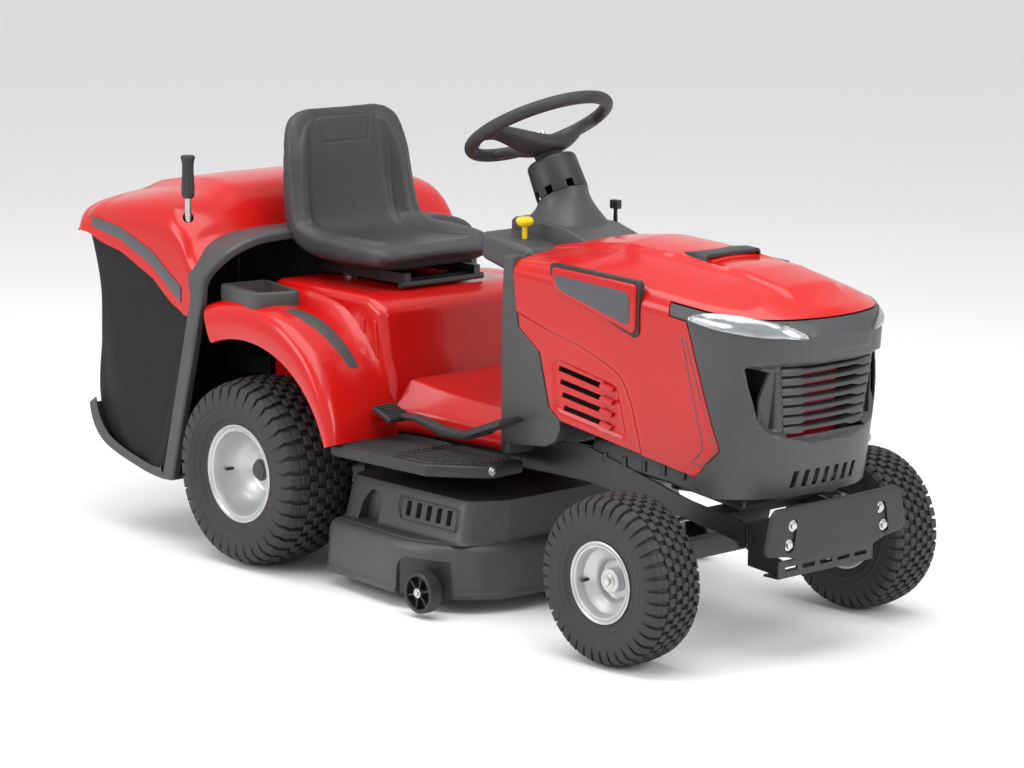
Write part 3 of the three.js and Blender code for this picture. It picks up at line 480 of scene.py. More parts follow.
# Bare, plated, cast or enamelled metal, cloudy and finely scratched.
def clouded(name, colour, roughness=0.35, metal=1.0, scratch=160, depth=0.05):
    material, nodes, links = freshMaterial(name)
    ownPlace = nodes.new("ShaderNodeTexCoord")
    ownPlace.label = "Place on the metal"
    stretch = nodes.new("ShaderNodeMapping")
    stretch.label = "Direction of the scratches"
    stretch.inputs["Scale"].default_value = (1, 0.15, 1)
    scratches = nodes.new("ShaderNodeTexNoise")
    scratches.label = "Fine scratches"
    scratches.inputs["Scale"].default_value = scratch
    scratches.inputs["Detail"].default_value = 5
    clouds = nodes.new("ShaderNodeTexNoise")
    clouds.label = "Cloudy plating"
    clouds.inputs["Scale"].default_value = 9
    clouds.inputs["Detail"].default_value = 5
    shade = nodes.new("ShaderNodeMix")
    shade.label = "Metal colour"
    shade.data_type = "RGBA"
    shade.inputs[6].default_value = (*[c * 0.78 for c in colour], 1)
    shade.inputs[7].default_value = (*[min(1, c * 1.12) for c in colour], 1)
    polish = nodes.new("ShaderNodeMapRange")
    polish.label = "Polish"
    polish.inputs["To Min"].default_value = roughness * 0.75
    polish.inputs["To Max"].default_value = roughness * 1.3
    lift = nodes.new("ShaderNodeBump")
    lift.label = "Scratch depth"
    lift.inputs["Strength"].default_value = depth
    lift.inputs["Distance"].default_value = 0.0005
    metalSkin = nodes.new("ShaderNodeBsdfPrincipled")
    metalSkin.label = "Metal"
    metalSkin.inputs["Metallic"].default_value = metal
    output = nodes.new("ShaderNodeOutputMaterial")
    output.label = "Surface"
    lineUp([ownPlace, stretch], [clouds, scratches], [shade, polish, lift], [metalSkin], [output])
    frameUp(nodes, "Colour", clouds, shade)
    frameUp(nodes, "Scratches", stretch, scratches, polish, lift)
    links.new(ownPlace.outputs["Object"], stretch.inputs["Vector"])
    links.new(stretch.outputs["Vector"], scratches.inputs["Vector"])
    links.new(ownPlace.outputs["Object"], clouds.inputs["Vector"])
    links.new(clouds.outputs["Fac"], shade.inputs[0])
    links.new(shade.outputs[2], metalSkin.inputs["Base Color"])
    links.new(scratches.outputs["Fac"], polish.inputs["Value"])
    links.new(polish.outputs["Result"], metalSkin.inputs["Roughness"])
    links.new(scratches.outputs["Fac"], lift.inputs["Height"])
    links.new(lift.outputs["Normal"], metalSkin.inputs["Normal"])
    links.new(metalSkin.outputs["BSDF"], output.inputs["Surface"])
    return material


# Powder-coated steel: fine orange peel under a faint clear coat, with patches of dust.
def powderCoat(name, colour, roughness=0.34):
    material, nodes, links = freshMaterial(name)
    ownPlace = nodes.new("ShaderNodeTexCoord")
    ownPlace.label = "Place on the steel"
    peel = nodes.new("ShaderNodeTexNoise")
    peel.label = "Orange peel"
    peel.inputs["Scale"].default_value = 260
    peel.inputs["Detail"].default_value = 2
    lift = nodes.new("ShaderNodeBump")
    lift.label = "Peel height"
    lift.inputs["Strength"].default_value = 0.14
    lift.inputs["Distance"].default_value = 0.0006
    dust = nodes.new("ShaderNodeTexNoise")
    dust.label = "Patches of dust"
    dust.inputs["Scale"].default_value = 7
    dust.inputs["Detail"].default_value = 8
    shade = nodes.new("ShaderNodeMix")
    shade.label = "Coat colour"
    shade.data_type = "RGBA"
    shade.inputs[6].default_value = (*[c * 0.8 for c in colour], 1)
    shade.inputs[7].default_value = (*[min(1, c * 1.35) for c in colour], 1)
    polish = nodes.new("ShaderNodeMapRange")
    polish.label = "Sheen"
    polish.inputs["To Min"].default_value = roughness * 0.8
    polish.inputs["To Max"].default_value = roughness * 1.35
    coat = nodes.new("ShaderNodeBsdfPrincipled")
    coat.label = "Powder coat"
    coat.inputs["Coat Weight"].default_value = 0.15
    coat.inputs["Coat Roughness"].default_value = 0.25
    output = nodes.new("ShaderNodeOutputMaterial")
    output.label = "Surface"
    lineUp([ownPlace], [dust, peel], [shade, polish, lift], [coat], [output])
    frameUp(nodes, "Colour and dust", dust, shade, polish)
    frameUp(nodes, "Orange peel", peel, lift)
    links.new(ownPlace.outputs["Object"], peel.inputs["Vector"])
    links.new(ownPlace.outputs["Object"], dust.inputs["Vector"])
    links.new(dust.outputs["Fac"], shade.inputs[0])
    links.new(dust.outputs["Fac"], polish.inputs["Value"])
    links.new(shade.outputs[2], coat.inputs["Base Color"])
    links.new(polish.outputs["Result"], coat.inputs["Roughness"])
    links.new(peel.outputs["Fac"], lift.inputs["Height"])
    links.new(lift.outputs["Normal"], coat.inputs["Normal"])
    links.new(coat.outputs["BSDF"], output.inputs["Surface"])
    return material


def tyreRubber():
    material, nodes, links = freshMaterial("tyreRubber")
    ownPlace = nodes.new("ShaderNodeTexCoord")
    ownPlace.label = "Place on the tyre"
    bloom = nodes.new("ShaderNodeTexNoise")
    bloom.label = "Grey bloom"
    bloom.inputs["Scale"].default_value = 12
    bloom.inputs["Detail"].default_value = 8
    shade = nodes.new("ShaderNodeMix")
    shade.label = "Rubber colour"
    shade.data_type = "RGBA"
    shade.inputs[6].default_value = (0.016, 0.0165, 0.017, 1)
    shade.inputs[7].default_value = (0.042, 0.042, 0.043, 1)
    pores = nodes.new("ShaderNodeTexNoise")
    pores.label = "Mould pores"
    pores.inputs["Scale"].default_value = 420
    pores.inputs["Detail"].default_value = 3
    lift = nodes.new("ShaderNodeBump")
    lift.label = "Pore depth"
    lift.inputs["Strength"].default_value = 0.18
    lift.inputs["Distance"].default_value = 0.0006
    polish = nodes.new("ShaderNodeMapRange")
    polish.label = "Dullness"
    polish.inputs["To Min"].default_value = 0.5
    polish.inputs["To Max"].default_value = 0.78
    rubber = nodes.new("ShaderNodeBsdfPrincipled")
    rubber.label = "Rubber"
    rubber.inputs["Specular IOR Level"].default_value = 0.4
    output = nodes.new("ShaderNodeOutputMaterial")
    output.label = "Surface"
    lineUp([ownPlace], [bloom, pores], [shade, polish, lift], [rubber], [output])
    frameUp(nodes, "Colour", bloom, shade, polish)
    frameUp(nodes, "Pores", pores, lift)
    links.new(ownPlace.outputs["Object"], bloom.inputs["Vector"])
    links.new(ownPlace.outputs["Object"], pores.inputs["Vector"])
    links.new(bloom.outputs["Fac"], shade.inputs[0])
    links.new(bloom.outputs["Fac"], polish.inputs["Value"])
    links.new(shade.outputs[2], rubber.inputs["Base Color"])
    links.new(polish.outputs["Result"], rubber.inputs["Roughness"])
    links.new(pores.outputs["Fac"], lift.inputs["Height"])
    links.new(lift.outputs["Normal"], rubber.inputs["Normal"])
    links.new(rubber.outputs["BSDF"], output.inputs["Surface"])
    return material


def seatVinyl():
    material, nodes, links = freshMaterial("seatVinyl")
    ownPlace = nodes.new("ShaderNodeTexCoord")
    ownPlace.label = "Place on the seat"
    pebbles = nodes.new("ShaderNodeTexVoronoi")
    pebbles.label = "Leather pebbles"
    pebbles.inputs["Scale"].default_value = 420
    pebbles.inputs["Randomness"].default_value = 1
    creases = nodes.new("ShaderNodeTexNoise")
    creases.label = "Fine creases"
    creases.inputs["Scale"].default_value = 160
    creases.inputs["Detail"].default_value = 8
    both = nodes.new("ShaderNodeMath")
    both.label = "Pebbles and creases"
    both.operation = "ADD"
    lift = nodes.new("ShaderNodeBump")
    lift.label = "Grain depth"
    lift.inputs["Strength"].default_value = 0.22
    lift.inputs["Distance"].default_value = 0.0006
    tone = nodes.new("ShaderNodeTexNoise")
    tone.label = "Slow change of tone"
    tone.inputs["Scale"].default_value = 6
    tone.inputs["Detail"].default_value = 4
    shade = nodes.new("ShaderNodeMix")
    shade.label = "Vinyl colour"
    shade.data_type = "RGBA"
    shade.inputs[6].default_value = (0.026, 0.0265, 0.028, 1)
    shade.inputs[7].default_value = (0.042, 0.043, 0.045, 1)
    polish = nodes.new("ShaderNodeMapRange")
    polish.label = "Sheen"
    polish.inputs["To Min"].default_value = 0.42
    polish.inputs["To Max"].default_value = 0.56
    vinyl = nodes.new("ShaderNodeBsdfPrincipled")
    vinyl.label = "Vinyl"
    output = nodes.new("ShaderNodeOutputMaterial")
    output.label = "Surface"
    lineUp([ownPlace], [tone, pebbles, creases], [shade, polish, both], [lift], [vinyl], [output])
    frameUp(nodes, "Colour", tone, shade, polish)
    frameUp(nodes, "Leather grain", pebbles, creases, both, lift)
    for texture in (tone, pebbles, creases):
        links.new(ownPlace.outputs["Object"], texture.inputs["Vector"])
    links.new(pebbles.outputs["Distance"], both.inputs[0])
    links.new(creases.outputs["Fac"], both.inputs[1])
    links.new(both.outputs["Value"], lift.inputs["Height"])
    links.new(tone.outputs["Fac"], shade.inputs[0])
    links.new(tone.outputs["Fac"], polish.inputs["Value"])
    links.new(shade.outputs[2], vinyl.inputs["Base Color"])
    links.new(polish.outputs["Result"], vinyl.inputs["Roughness"])
    links.new(lift.outputs["Normal"], vinyl.inputs["Normal"])
    links.new(vinyl.outputs["BSDF"], output.inputs["Surface"])
    return material


# Closed woven mesh: threads in three directions, of which two lie in each panel.
def bagMesh():
    material, nodes, links = freshMaterial("bagMesh")
    ownPlace = nodes.new("ShaderNodeTexCoord")
    ownPlace.label = "Place on the cloth"
    warp = nodes.new("ShaderNodeTexWave")
    warp.label = "Threads across"
    warp.bands_direction = "X"
    warp.inputs["Scale"].default_value = 95
    weft = nodes.new("ShaderNodeTexWave")
    weft.label = "Threads up"
    weft.bands_direction = "Z"
    weft.inputs["Scale"].default_value = 95
    sideways = nodes.new("ShaderNodeTexWave")
    sideways.label = "Threads over the back"
    sideways.bands_direction = "Y"
    sideways.inputs["Scale"].default_value = 95
    flat = nodes.new("ShaderNodeMath")
    flat.label = "Upper thread of two"
    flat.operation = "MAXIMUM"
    weave = nodes.new("ShaderNodeMath")
    weave.label = "Weave"
    weave.operation = "MAXIMUM"
    lift = nodes.new("ShaderNodeBump")
    lift.label = "Thread height"
    lift.inputs["Strength"].default_value = 0.5
    lift.inputs["Distance"].default_value = 0.0012
    wear = nodes.new("ShaderNodeTexNoise")
    wear.label = "Uneven dye"
    wear.inputs["Scale"].default_value = 6
    wear.inputs["Detail"].default_value = 5
    shade = nodes.new("ShaderNodeMix")
    shade.label = "Thread colour"
    shade.data_type = "RGBA"
    shade.inputs[6].default_value = (0.006, 0.006, 0.0065, 1)
    shade.inputs[7].default_value = (0.014, 0.014, 0.0145, 1)
    depth = nodes.new("ShaderNodeMath")
    depth.label = "Dye on the threads"
    depth.operation = "MULTIPLY"
    cloth = nodes.new("ShaderNodeBsdfPrincipled")
    cloth.label = "Polyester mesh"
    cloth.inputs["Roughness"].default_value = 0.62
    cloth.inputs["Specular IOR Level"].default_value = 0.2
    cloth.inputs["Sheen Weight"].default_value = 0.03
    cloth.inputs["Sheen Roughness"].default_value = 0.4
    output = nodes.new("ShaderNodeOutputMaterial")
    output.label = "Surface"
    lineUp([ownPlace], [warp, weft, sideways, wear], [flat, weave, depth], [shade, lift], [cloth], [output])
    frameUp(nodes, "Weave", warp, weft, sideways, flat, weave, lift)
    frameUp(nodes, "Colour", wear, depth, shade)
    for texture in (warp, weft, sideways, wear):
        links.new(ownPlace.outputs["Object"], texture.inputs["Vector"])
    links.new(warp.outputs["Fac"], flat.inputs[0])
    links.new(weft.outputs["Fac"], flat.inputs[1])
    links.new(flat.outputs["Value"], weave.inputs[0])
    links.new(sideways.outputs["Fac"], weave.inputs[1])
    links.new(weave.outputs["Value"], lift.inputs["Height"])
    links.new(weave.outputs["Value"], depth.inputs[0])
    links.new(wear.outputs["Fac"], depth.inputs[1])
    links.new(depth.outputs["Value"], shade.inputs[0])
    links.new(shade.outputs[2], cloth.inputs["Base Color"])
    links.new(lift.outputs["Normal"], cloth.inputs["Normal"])
    links.new(cloth.outputs["BSDF"], output.inputs["Surface"])
    return material


def lampLens():
    material, nodes, links = freshMaterial("lampLens")
    ownPlace = nodes.new("ShaderNodeTexCoord")
    ownPlace.label = "Place on the lens"
    flutes = nodes.new("ShaderNodeTexWave")
    flutes.label = "Flutes in the lens"
    flutes.inputs["Scale"].default_value = 18
    lift = nodes.new("ShaderNodeBump")
    lift.label = "Flute height"
    lift.inputs["Strength"].default_value = 0.25
    lift.inputs["Distance"].default_value = 0.001
    lens = nodes.new("ShaderNodeBsdfPrincipled")
    lens.label = "Clear plastic"
    lens.inputs["Base Color"].default_value = (0.93, 0.95, 0.96, 1)
    lens.inputs["Roughness"].default_value = 0.06
    lens.inputs["Transmission Weight"].default_value = 0.96
    lens.inputs["IOR"].default_value = 1.45
    output = nodes.new("ShaderNodeOutputMaterial")
    output.label = "Surface"
    lineUp([ownPlace], [flutes], [lift], [lens], [output])
    frameUp(nodes, "Flutes", flutes, lift)
    links.new(ownPlace.outputs["Object"], flutes.inputs["Vector"])
    links.new(flutes.outputs["Fac"], lift.inputs["Height"])
    links.new(lift.outputs["Normal"], lens.inputs["Normal"])
    links.new(lens.outputs["BSDF"], output.inputs["Surface"])
    return material


redCover = glossCover("redCover", (0.5, 0.006, 0.005), 0.22, 0.25)
crimsonCover = glossCover("crimsonCover", (0.42, 0.004, 0.02), 0.3, 0.2)
charcoalPlastic = grainedPlastic("charcoalPlastic", (0.047, 0.048, 0.05), 0.42)
blackPlastic = grainedPlastic("blackPlastic", (0.016, 0.016, 0.017), 0.45)
hoseRubber = grainedPlastic("hoseRubber", (0.02, 0.02, 0.021), 0.6, 500, 0.2)
inlayGrey = glossCover("inlayGrey", (0.075, 0.08, 0.09), 0.4, 0.1)
yellowPlastic = glossCover("yellowPlastic", (0.78, 0.52, 0.006), 0.35, 0.2)
blackSteel = powderCoat("blackSteel", (0.012, 0.012, 0.0125))
rimEnamel = clouded("rimEnamel", (0.56, 0.57, 0.58), 0.32, 0.55, 60, 0.03)
zincPlate = clouded("zincPlate", (0.62, 0.62, 0.6), 0.28, 1.0, 220, 0.05)
castAlloy = clouded("castAlloy", (0.3, 0.3, 0.31), 0.5, 0.8, 90, 0.25)
hotSteel = clouded("hotSteel", (0.36, 0.33, 0.3), 0.45, 0.9, 120, 0.12)
mirrorChrome = clouded("mirrorChrome", (0.42, 0.43, 0.45), 0.16, 1.0, 200, 0.02)
rubber = tyreRubber()
vinyl = seatVinyl()
meshCloth = bagMesh()
lens = lampLens()
print("finishes mixed")


# Wheels

def onWheel(centre, radius, across, angle):
    x, y, z = centre
    return (x + radius * math.sin(angle), y - across, z + radius * math.cos(angle))


# A lug runs through stations (base radius, top radius, base across, top across, half width, skew).
def lug(name, centre, stations, at):
    rings = []
    for base, top, low, high, half, skew in stations:
        narrow = half * 0.9
        rings.append([
            onWheel(centre, base, low, at + (skew - half) / base),
            onWheel(centre, base, low, at + (skew + half) / base),
            onWheel(centre, top, high, at + (skew + narrow) / top),
            onWheel(centre, top, high, at + (skew - narrow) / top),
        ])
    return skin(name, rings)


def tyre(name, shape):
    centre, radius, turn = shape["centre"], shape["radius"], 2 * math.pi / shape["pitches"]
    crown = lambda across: radius - shape["drop"] * (abs(across) / shape["tread"]) ** 2
    lugs = []
    for row, across in enumerate(shape["rows"]):
        half, wide = shape["block"]
        skew = 0 if row % 2 else turn * radius / 2
        steps = [(-wide, 1.6), (-wide + 1.8, 0), (wide - 1.8, 0), (wide, 1.6)]
        lugs.append(lug("block", centre, [
            (crown(across) - shape["deep"] - 3, crown(across + step) - down, across + step, across + step,
             half, skew)
            for step, down in steps
        ], 0))
    for side in (-1, 1):
        for count in range(shape["shoulderLugs"]):
            lugs.append(lug("shoulder", centre, [
                (low - 3, low + up, side * (across - 1), side * (across + out),
                 shape["shoulderHalf"] * size, skew * side)
                for low, up, across, out, size, skew in shape["shoulder"]
            ], turn * count / shape["shoulderLugs"]))
    tread = together("tread", *lugs)
    bpy.ops.object.mode_set(mode="EDIT")
    bpy.ops.mesh.select_all(action="SELECT")
    middle = [value * mm for value in centre]
    bpy.ops.mesh.spin(
        steps=shape["pitches"] - 1, dupli=True, angle=2 * math.pi - turn, center=middle, axis=(0, 1, 0),
    )
    bpy.ops.object.mode_set(mode="OBJECT")
    half = through(shape["wall"], 4)
    profile = [(r, -h) for r, h in half] + [(r, h) for r, h in reversed(half)]
    carcass = spun("carcass", profile, centre, steps=96)
    return together(name, carcass, tread)


tyreShapes = {
    "front": {
        "centre": (790, -380, 184), "radius": 184, "drop": 9, "tread": 62, "pitches": 40, "deep": 9,
        "rows": (-45, -27, -9, 9, 27, 45), "block": (9.6, 7.6), "shoulderLugs": 1, "shoulderHalf": 10.5,
        "shoulder": (
            (168, 8, 53, 0, 0.9, 0), (165, 9, 58, 2, 1, 0), (158, 8, 64.5, 3, 1, 0),
            (149, 4, 68.5, 2, 0.95, 0), (142, 0.5, 69.5, 1, 0.9, 0),
        ),
        "wall": (
            (79.5, 48), (83.5, 55), (88, 58.5), (96, 60.5), (103, 64), (106, 66.5), (110, 66), (118, 67.6),
            (122, 69.4), (126, 68.6), (140, 70), (152, 67.5), (163, 61), (170, 50), (174, 30), (175, 0),
        ),
    },
    "rear": {
        "centre": (-410, -366, 223), "radius": 223, "drop": 13, "tread": 92, "pitches": 38, "deep": 11,
        "rows": (-57, -34, -11.5, 11.5, 34, 57), "block": (12.5, 9.8), "shoulderLugs": 1,
        "shoulderHalf": 13.5,
        "shoulder": (
            (204, 10, 69, 0, 0.9, 0), (201, 11, 79, 1, 1, 2), (195, 11, 89, 3, 1, -2),
            (184, 9, 98, 3, 1, 2), (173, 4, 101.5, 2, 0.95, 0), (165, 0.5, 103, 1, 0.9, 0),
        ),
        "wall": (
            (107, 72), (111, 80), (116, 83.5), (124, 86), (131, 91), (135, 95), (140, 94.5), (149, 98.5),
            (153, 101.5), (158, 100.8), (170, 103), (185, 99), (198, 88), (206, 70), (211, 40), (212, 0),
        ),
    },
}
rimShapes = {
    "front": [
        (86, 58), (88.5, 60), (88.5, 62), (86, 63), (83, 61), (81.5, 58), (79.5, 57.5), (78.5, 60),
        (76, 60), (74, 56), (72.5, 48), (70, 40), (62, 33), (52, 28), (46, 20), (43, 10), (38, 6.5),
        (26, 6.5), (26, 32), (24.5, 33.5), (9.2, 33.5), (9.2, -33.5), (24.5, -33.5), (26, -32), (26, 1.5),
        (38, 1.5), (46.5, 5), (50, 18), (55, 23), (64, 28), (70, 33), (70, -45), (74, -56), (84, -61),
        (88, -60), (86, -56), (78, -50), (73.8, -42), (73.8, 30), (76, 44), (78, 54), (84, 56),
    ],
    "rear": [
        (113, 80), (116, 82.5), (116, 85), (112.5, 86), (109, 83), (107.5, 79.5), (105, 79), (103.5, 81),
        (101, 80.5), (99, 76), (97, 66), (95, 52), (90, 40), (84, 26), (74, 14), (64, 8), (56, 0), (50, -4),
        (34, -6), (30, -5), (30, 14), (28, 16), (12.2, 16), (12.2, -40), (30, -40), (30, -11), (50, -9),
        (60, -4), (66, 3), (76, 9), (87, 22), (93, 36), (93, -66), (98, -76), (110, -83), (115, -82),
        (112, -78), (102, -72), (98.5, -60), (98.5, 50), (101, 66), (104, 76), (110, 78),
    ],
}


def bolt(name, at, axis, across, high, washer=1.6):
    along = Vector(axis).normalized()
    clearSelection()
    turned = along.to_track_quat("Z", "Y").to_euler()
    middle = (Vector(at) + along * (washer + high / 2)) * mm
    bpy.ops.mesh.primitive_cylinder_add(
        vertices=6, radius=across * 0.577 * mm, depth=high * mm, location=middle, rotation=turned,
    )
    head = softEdges(newPiece(name), min(across, high) * 0.12, 2)
    disc = spun(name, [(0.5, 0), (across * 0.82, 0), (across * 0.82, washer * 0.8), (across * 0.75, washer),
                       (0.5, washer)],
                at, axis, 24)
    both = together(name, head, disc)
    bpy.ops.object.transform_apply(location=True, rotation=True, scale=True)
    return both


for end in ("front", "rear"):
    centre = tyreShapes[end]["centre"]
    x, y, z = centre
    made = [(tyre(end + "_tyre_made_right", tyreShapes[end]), rubber, "tyre", end + "_tyre_")]
    rim = spun(end + "_rim_made_right", rimShapes[end], centre, (0, -1, 0), 72)
    made.append((rim, rimEnamel, "rim", end + "_rim_"))
    if end == "front":
        cap = bolt("front_hub_bolt_right", (x, y - 33.6, z), (0, -1, 0), 17, 8, 3)
        valveAt = 64
    else:
        cap = spun("rear_hub_cap_right", [(0.5, 16), (26, 16), (26, 18), (22, 19.5), (20, 26), (15, 27.5),
                                          (8, 25), (0.5, 24.5)],
                   centre, (0, -1, 0), 32)
        valveAt = 88
    made.append((cap, zincPlate if end == "front" else charcoalPlastic,
                 "zinc_steel" if end == "front" else "black_plastic", None))
    valve = rod(end + "_valve_right", [(x - valveAt, y - 30, z - 8), (x - valveAt + 2, y - 52, z - 8)], 3.6)
    made.append((valve, hoseRubber, "black_plastic", None))
    for piece, finish, slot, node in made:
        other = copyOf(piece, piece.name.replace("right", "left"), acrossMachine)
        for side, item in (("right", piece), ("left", other)):
            fit(item, f"{end}_wheel_{side}", finish, slot, *([node + side] if node else []), angle=28)
print("wheels made")


# Hood, nose cover, grille, lamps and scoop

nose = {
    "straight": 835, "reach": 225, "half": 235, "power": 2.7, "fillet": 26, "frontLow": 355, "lean": 46,
    "spine": 0.88, "rear": 283, "step": 6.5, "flankRows": 62, "roundRows": 7, "topRows": 26, "brow": 730,
    "creaseDeep": 5, "ventDeep": 4, "podDeep": 5, "maskDeep": 17, "plaqueHigh": 2.5, "bulge": 7, "dip": 7,
    "hoodWall": 4, "fasciaWall": 5,
    "shoulder": [(283, 785), (400, 779), (515, 772), (716, 757), (860, 745), (960, 737), (1030, 728),
                 (1062, 715)],
    "top": [(283, 806), (400, 830), (515, 843), (620, 838), (716, 829), (860, 815), (960, 792), (1030, 758),
            (1062, 738)],
    "low": [(283, 477), (304, 477), (440, 452), (706, 415), (853, 392), (875, 366), (900, 355),
            (1100, 355)],
    "belowCrease": [
        (322, 680), (408, 655), (510, 633), (593, 605), (637, 584), (660, 552), (677, 516), (706, 423),
        (706, 360), (200, 360), (200, 700),
    ],
    "ventPanel": [(414, 585), (440, 590), (606, 558), (622, 546), (654, 446), (640, 438), (440, 468),
                  (424, 478)],
    "pod": [(413, 800), (684, 790), (690, 775), (688, 686), (668, 692), (560, 722), (445, 756), (424, 764)],
    "mask": [
        (-215, 642), (-150, 650), (150, 650), (215, 642), (206, 600), (182, 512), (160, 494), (60, 470),
        (-60, 470), (-160, 494), (-182, 512), (-206, 600),
    ],
    "plaque": [(-92, 718), (92, 718), (97, 664), (-97, 664)],
}


def insideBy(corners, a, b):
    inside, nearest = False, 1e9
    for (ax, az), (bx, bz) in zip(corners, corners[1:] + corners[:1]):
        if (az > b) != (bz > b) and a < ax + (bx - ax) * (b - az) / (bz - az):
            inside = not inside
        run, rise = bx - ax, bz - az
        share = max(0, min(1, ((a - ax) * run + (b - az) * rise) / (run * run + rise * rise)))
        nearest = min(nearest, math.hypot(a - ax - share * run, b - az - share * rise))
    return nearest if inside else -nearest


# How far the nose leans back below its brow.
def leanBack(share, z):
    fall = max(0, (nose["brow"] - z) / (nose["brow"] - nose["frontLow"]))
    return nose["lean"] * ease(0.1, 0.9, share) * fall ** 1.5


def noseFront(y, z):
    power = nose["power"]
    share = max(0, 1 - (abs(y) / nose["half"]) ** power) ** (1 / power)
    return nose["straight"] + nose["reach"] * share - leanBack(share, z)


def noseDepth(x, y, z):
    depth = 0
    if y < -190 and x < 830 and z < nose["shoulder"][0][1] + 20:
        depth += nose["creaseDeep"] * ease(0, 16, insideBy(nose["belowCrease"], x, z))
        if 380 < x < 700:
            depth += nose["ventDeep"] * ease(0, 9, insideBy(nose["ventPanel"], x, z))
            depth += nose["podDeep"] * ease(0, 5, insideBy(nose["pod"], x, z))
    if x > 880 and z < nose["brow"]:
        depth += nose["maskDeep"] * ease(0, 12, insideBy(nose["mask"], y, z))
        depth -= nose["plaqueHigh"] * ease(0, 4, insideBy(nose["plaque"], y, z))
    return depth


def noseColumn(here, out):
    x, y = here
    share = max(0, (x - nose["straight"]) / nose["reach"])
    spineX = x if share == 0 else nose["straight"] + (x - nose["straight"]) * nose["spine"]
    shoulder, low = follow(nose["shoulder"], x), follow(nose["low"], x)
    way = Vector((spineX - x, -y))
    length = way.length
    way.normalize()
    radius = min(nose["fillet"], length * 0.5)
    points = []
    for row in range(nose["flankRows"] + 1):
        z = between(low, shoulder - radius, row / nose["flankRows"])
        back = leanBack(share, z)
        sink = noseDepth(x - back, y, z)
        points.append((x - back - out[0] * sink, y - out[1] * sink, z))
    crownHere = lambda d, px: (follow(nose["top"], px) - shoulder) * (1 - max(0, 1 - d / length) ** 2.2)
    for step in range(1, nose["roundRows"] + 1):
        angle = step / nose["roundRows"] * math.pi / 2
        d = radius * (1 - math.cos(angle))
        z = shoulder - radius + radius * math.sin(angle) + crownHere(d, x + way.x * d)
        sink = noseDepth(x, y, z) * math.cos(angle)
        points.append((x + way.x * d - out[0] * sink, y + way.y * d - out[1] * sink, z))
    for row in range(1, nose["topRows"] + 1):
        d = between(radius, length, row / nose["topRows"])
        px, py = x + way.x * d, y + way.y * d
        panel = 1 - ease(100, 114, abs(py) + max(0, px - 560) * 0.06)
        bulge = nose["bulge"] * panel * (1 - ease(940, 1010, px))
        dip = nose["dip"] * (1 - ease(74, 92, abs(py))) * ease(730, 744, px) * (1 - ease(744, 830, px))
        points.append((px, py, shoulder + crownHere(d, px) + bulge - dip))
    return points


def noseOutline():
    corner = [(nose["straight"] + nose["reach"] * math.sin(k * math.pi / 800) ** (2 / nose["power"]),
               -nose["half"] * math.cos(k * math.pi / 800) ** (2 / nose["power"])) for k in range(401)]
    fine = [(nose["rear"], -nose["half"])] + corner
    lengths = [0]
    for a, b in zip(fine, fine[1:]):
        lengths.append(lengths[-1] + math.dist(a, b))
    count = round(lengths[-1] / nose["step"])
    xs, ys = list(zip(lengths, [p[0] for p in fine])), list(zip(lengths, [p[1] for p in fine]))
    points = [(follow(xs, lengths[-1] * k / count), follow(ys, lengths[-1] * k / count))
              for k in range(count + 1)]
    outs = []
    for k in range(count + 1):
        a, b = points[max(k - 1, 0)], points[min(k + 1, count)]
        run = Vector((b[0] - a[0], b[1] - a[1])).normalized()
        outs.append((run.y, -run.x) if 0 < k < count else ((0, -1) if k == 0 else (1, 0)))
    return points, outs


def halfToWhole(piece):
    return modify(piece, "MIRROR", use_axis=(False, True, False), use_clip=True, merge_threshold=0.02 * mm)


outlinePoints, outlineOuts = noseOutline()
noseColumns = [noseColumn(point, out) for point, out in zip(outlinePoints, outlineOuts)]
noseColumns[-1] = [(x, 0, z) for x, y, z in noseColumns[-1]]
noseSkin = skin("nose_skin", noseColumns, closed=False, capped=False)
halfToWhole(noseSkin)
mend(noseSkin, 0.2)

hoodOutline = [(291, 900), (291, 790), (311, 642), (378, 595), (411, 476), (446, 450), (706, 415),
               (861, 394), (921, 457), (826, 721), (776, 726), (768, 757), (960, 742), (1100, 738),
               (1100, 900)]
noseOnly = [(862, 390), (924, 457), (829, 723), (780, 728), (772, 753), (960, 738.5), (1100, 734.5),
            (1100, 300), (862, 300)]
hood = copyOf(noseSkin, "hood_made")
thicken(hood, nose["hoodWall"])
keepInside(hood, plate("cut", hoodOutline, "Y", -300, 300))
fascia = copyOf(noseSkin, "fascia_made")
thicken(fascia, nose["fasciaWall"])
keepInside(fascia, plate("cut", noseOnly, "Y", -300, 300))

slots = [[(432, 561), (561, 540), (570, 552), (436, 573)], [(438, 532), (576, 511), (585, 523), (441, 544)],
         [(444, 504), (587, 483), (596, 495), (447, 516)], [(450, 475), (591, 455), (600, 467), (453, 487)]]
for low, high in ((-260, -215), (215, 260)):
    cutAway(hood, *[plate("cut", slot, "Y", low, high) for slot in slots])
openings = [[(-142, 640), (142, 640), (119, 486), (-119, 486)]]
openings += [[(side * 160, 628), (side * 204, 640), (side * 200, 600), (side * 183, 524)]
             for side in (-1, 1)]
openings += [[(k * 30 - 6, 412), (k * 30 + 8, 412), (k * 30 + 2, 376), (k * 30 - 12, 376)]
             for k in range(-3, 4)]
cutAway(fascia, *[plate("cut", opening, "X", 900, 1120) for opening in openings])
cutAway(hood, box("cut", (690, 716), (-84, 84), (780, 900)))
fit(hood, "hood", redCover, "red_plastic", "hood_shell", angle=26)
fit(fascia, "hood", charcoalPlastic, "charcoal_plastic", "fascia", angle=30)
bpy.data.objects.remove(noseSkin)
print("hood and nose cover made")


def besideNose(x, proud=0):
    share = max(0, (x - nose["straight"]) / nose["reach"])
    return -nose["half"] * (1 - share ** nose["power"]) ** (1 / nose["power"]) - proud


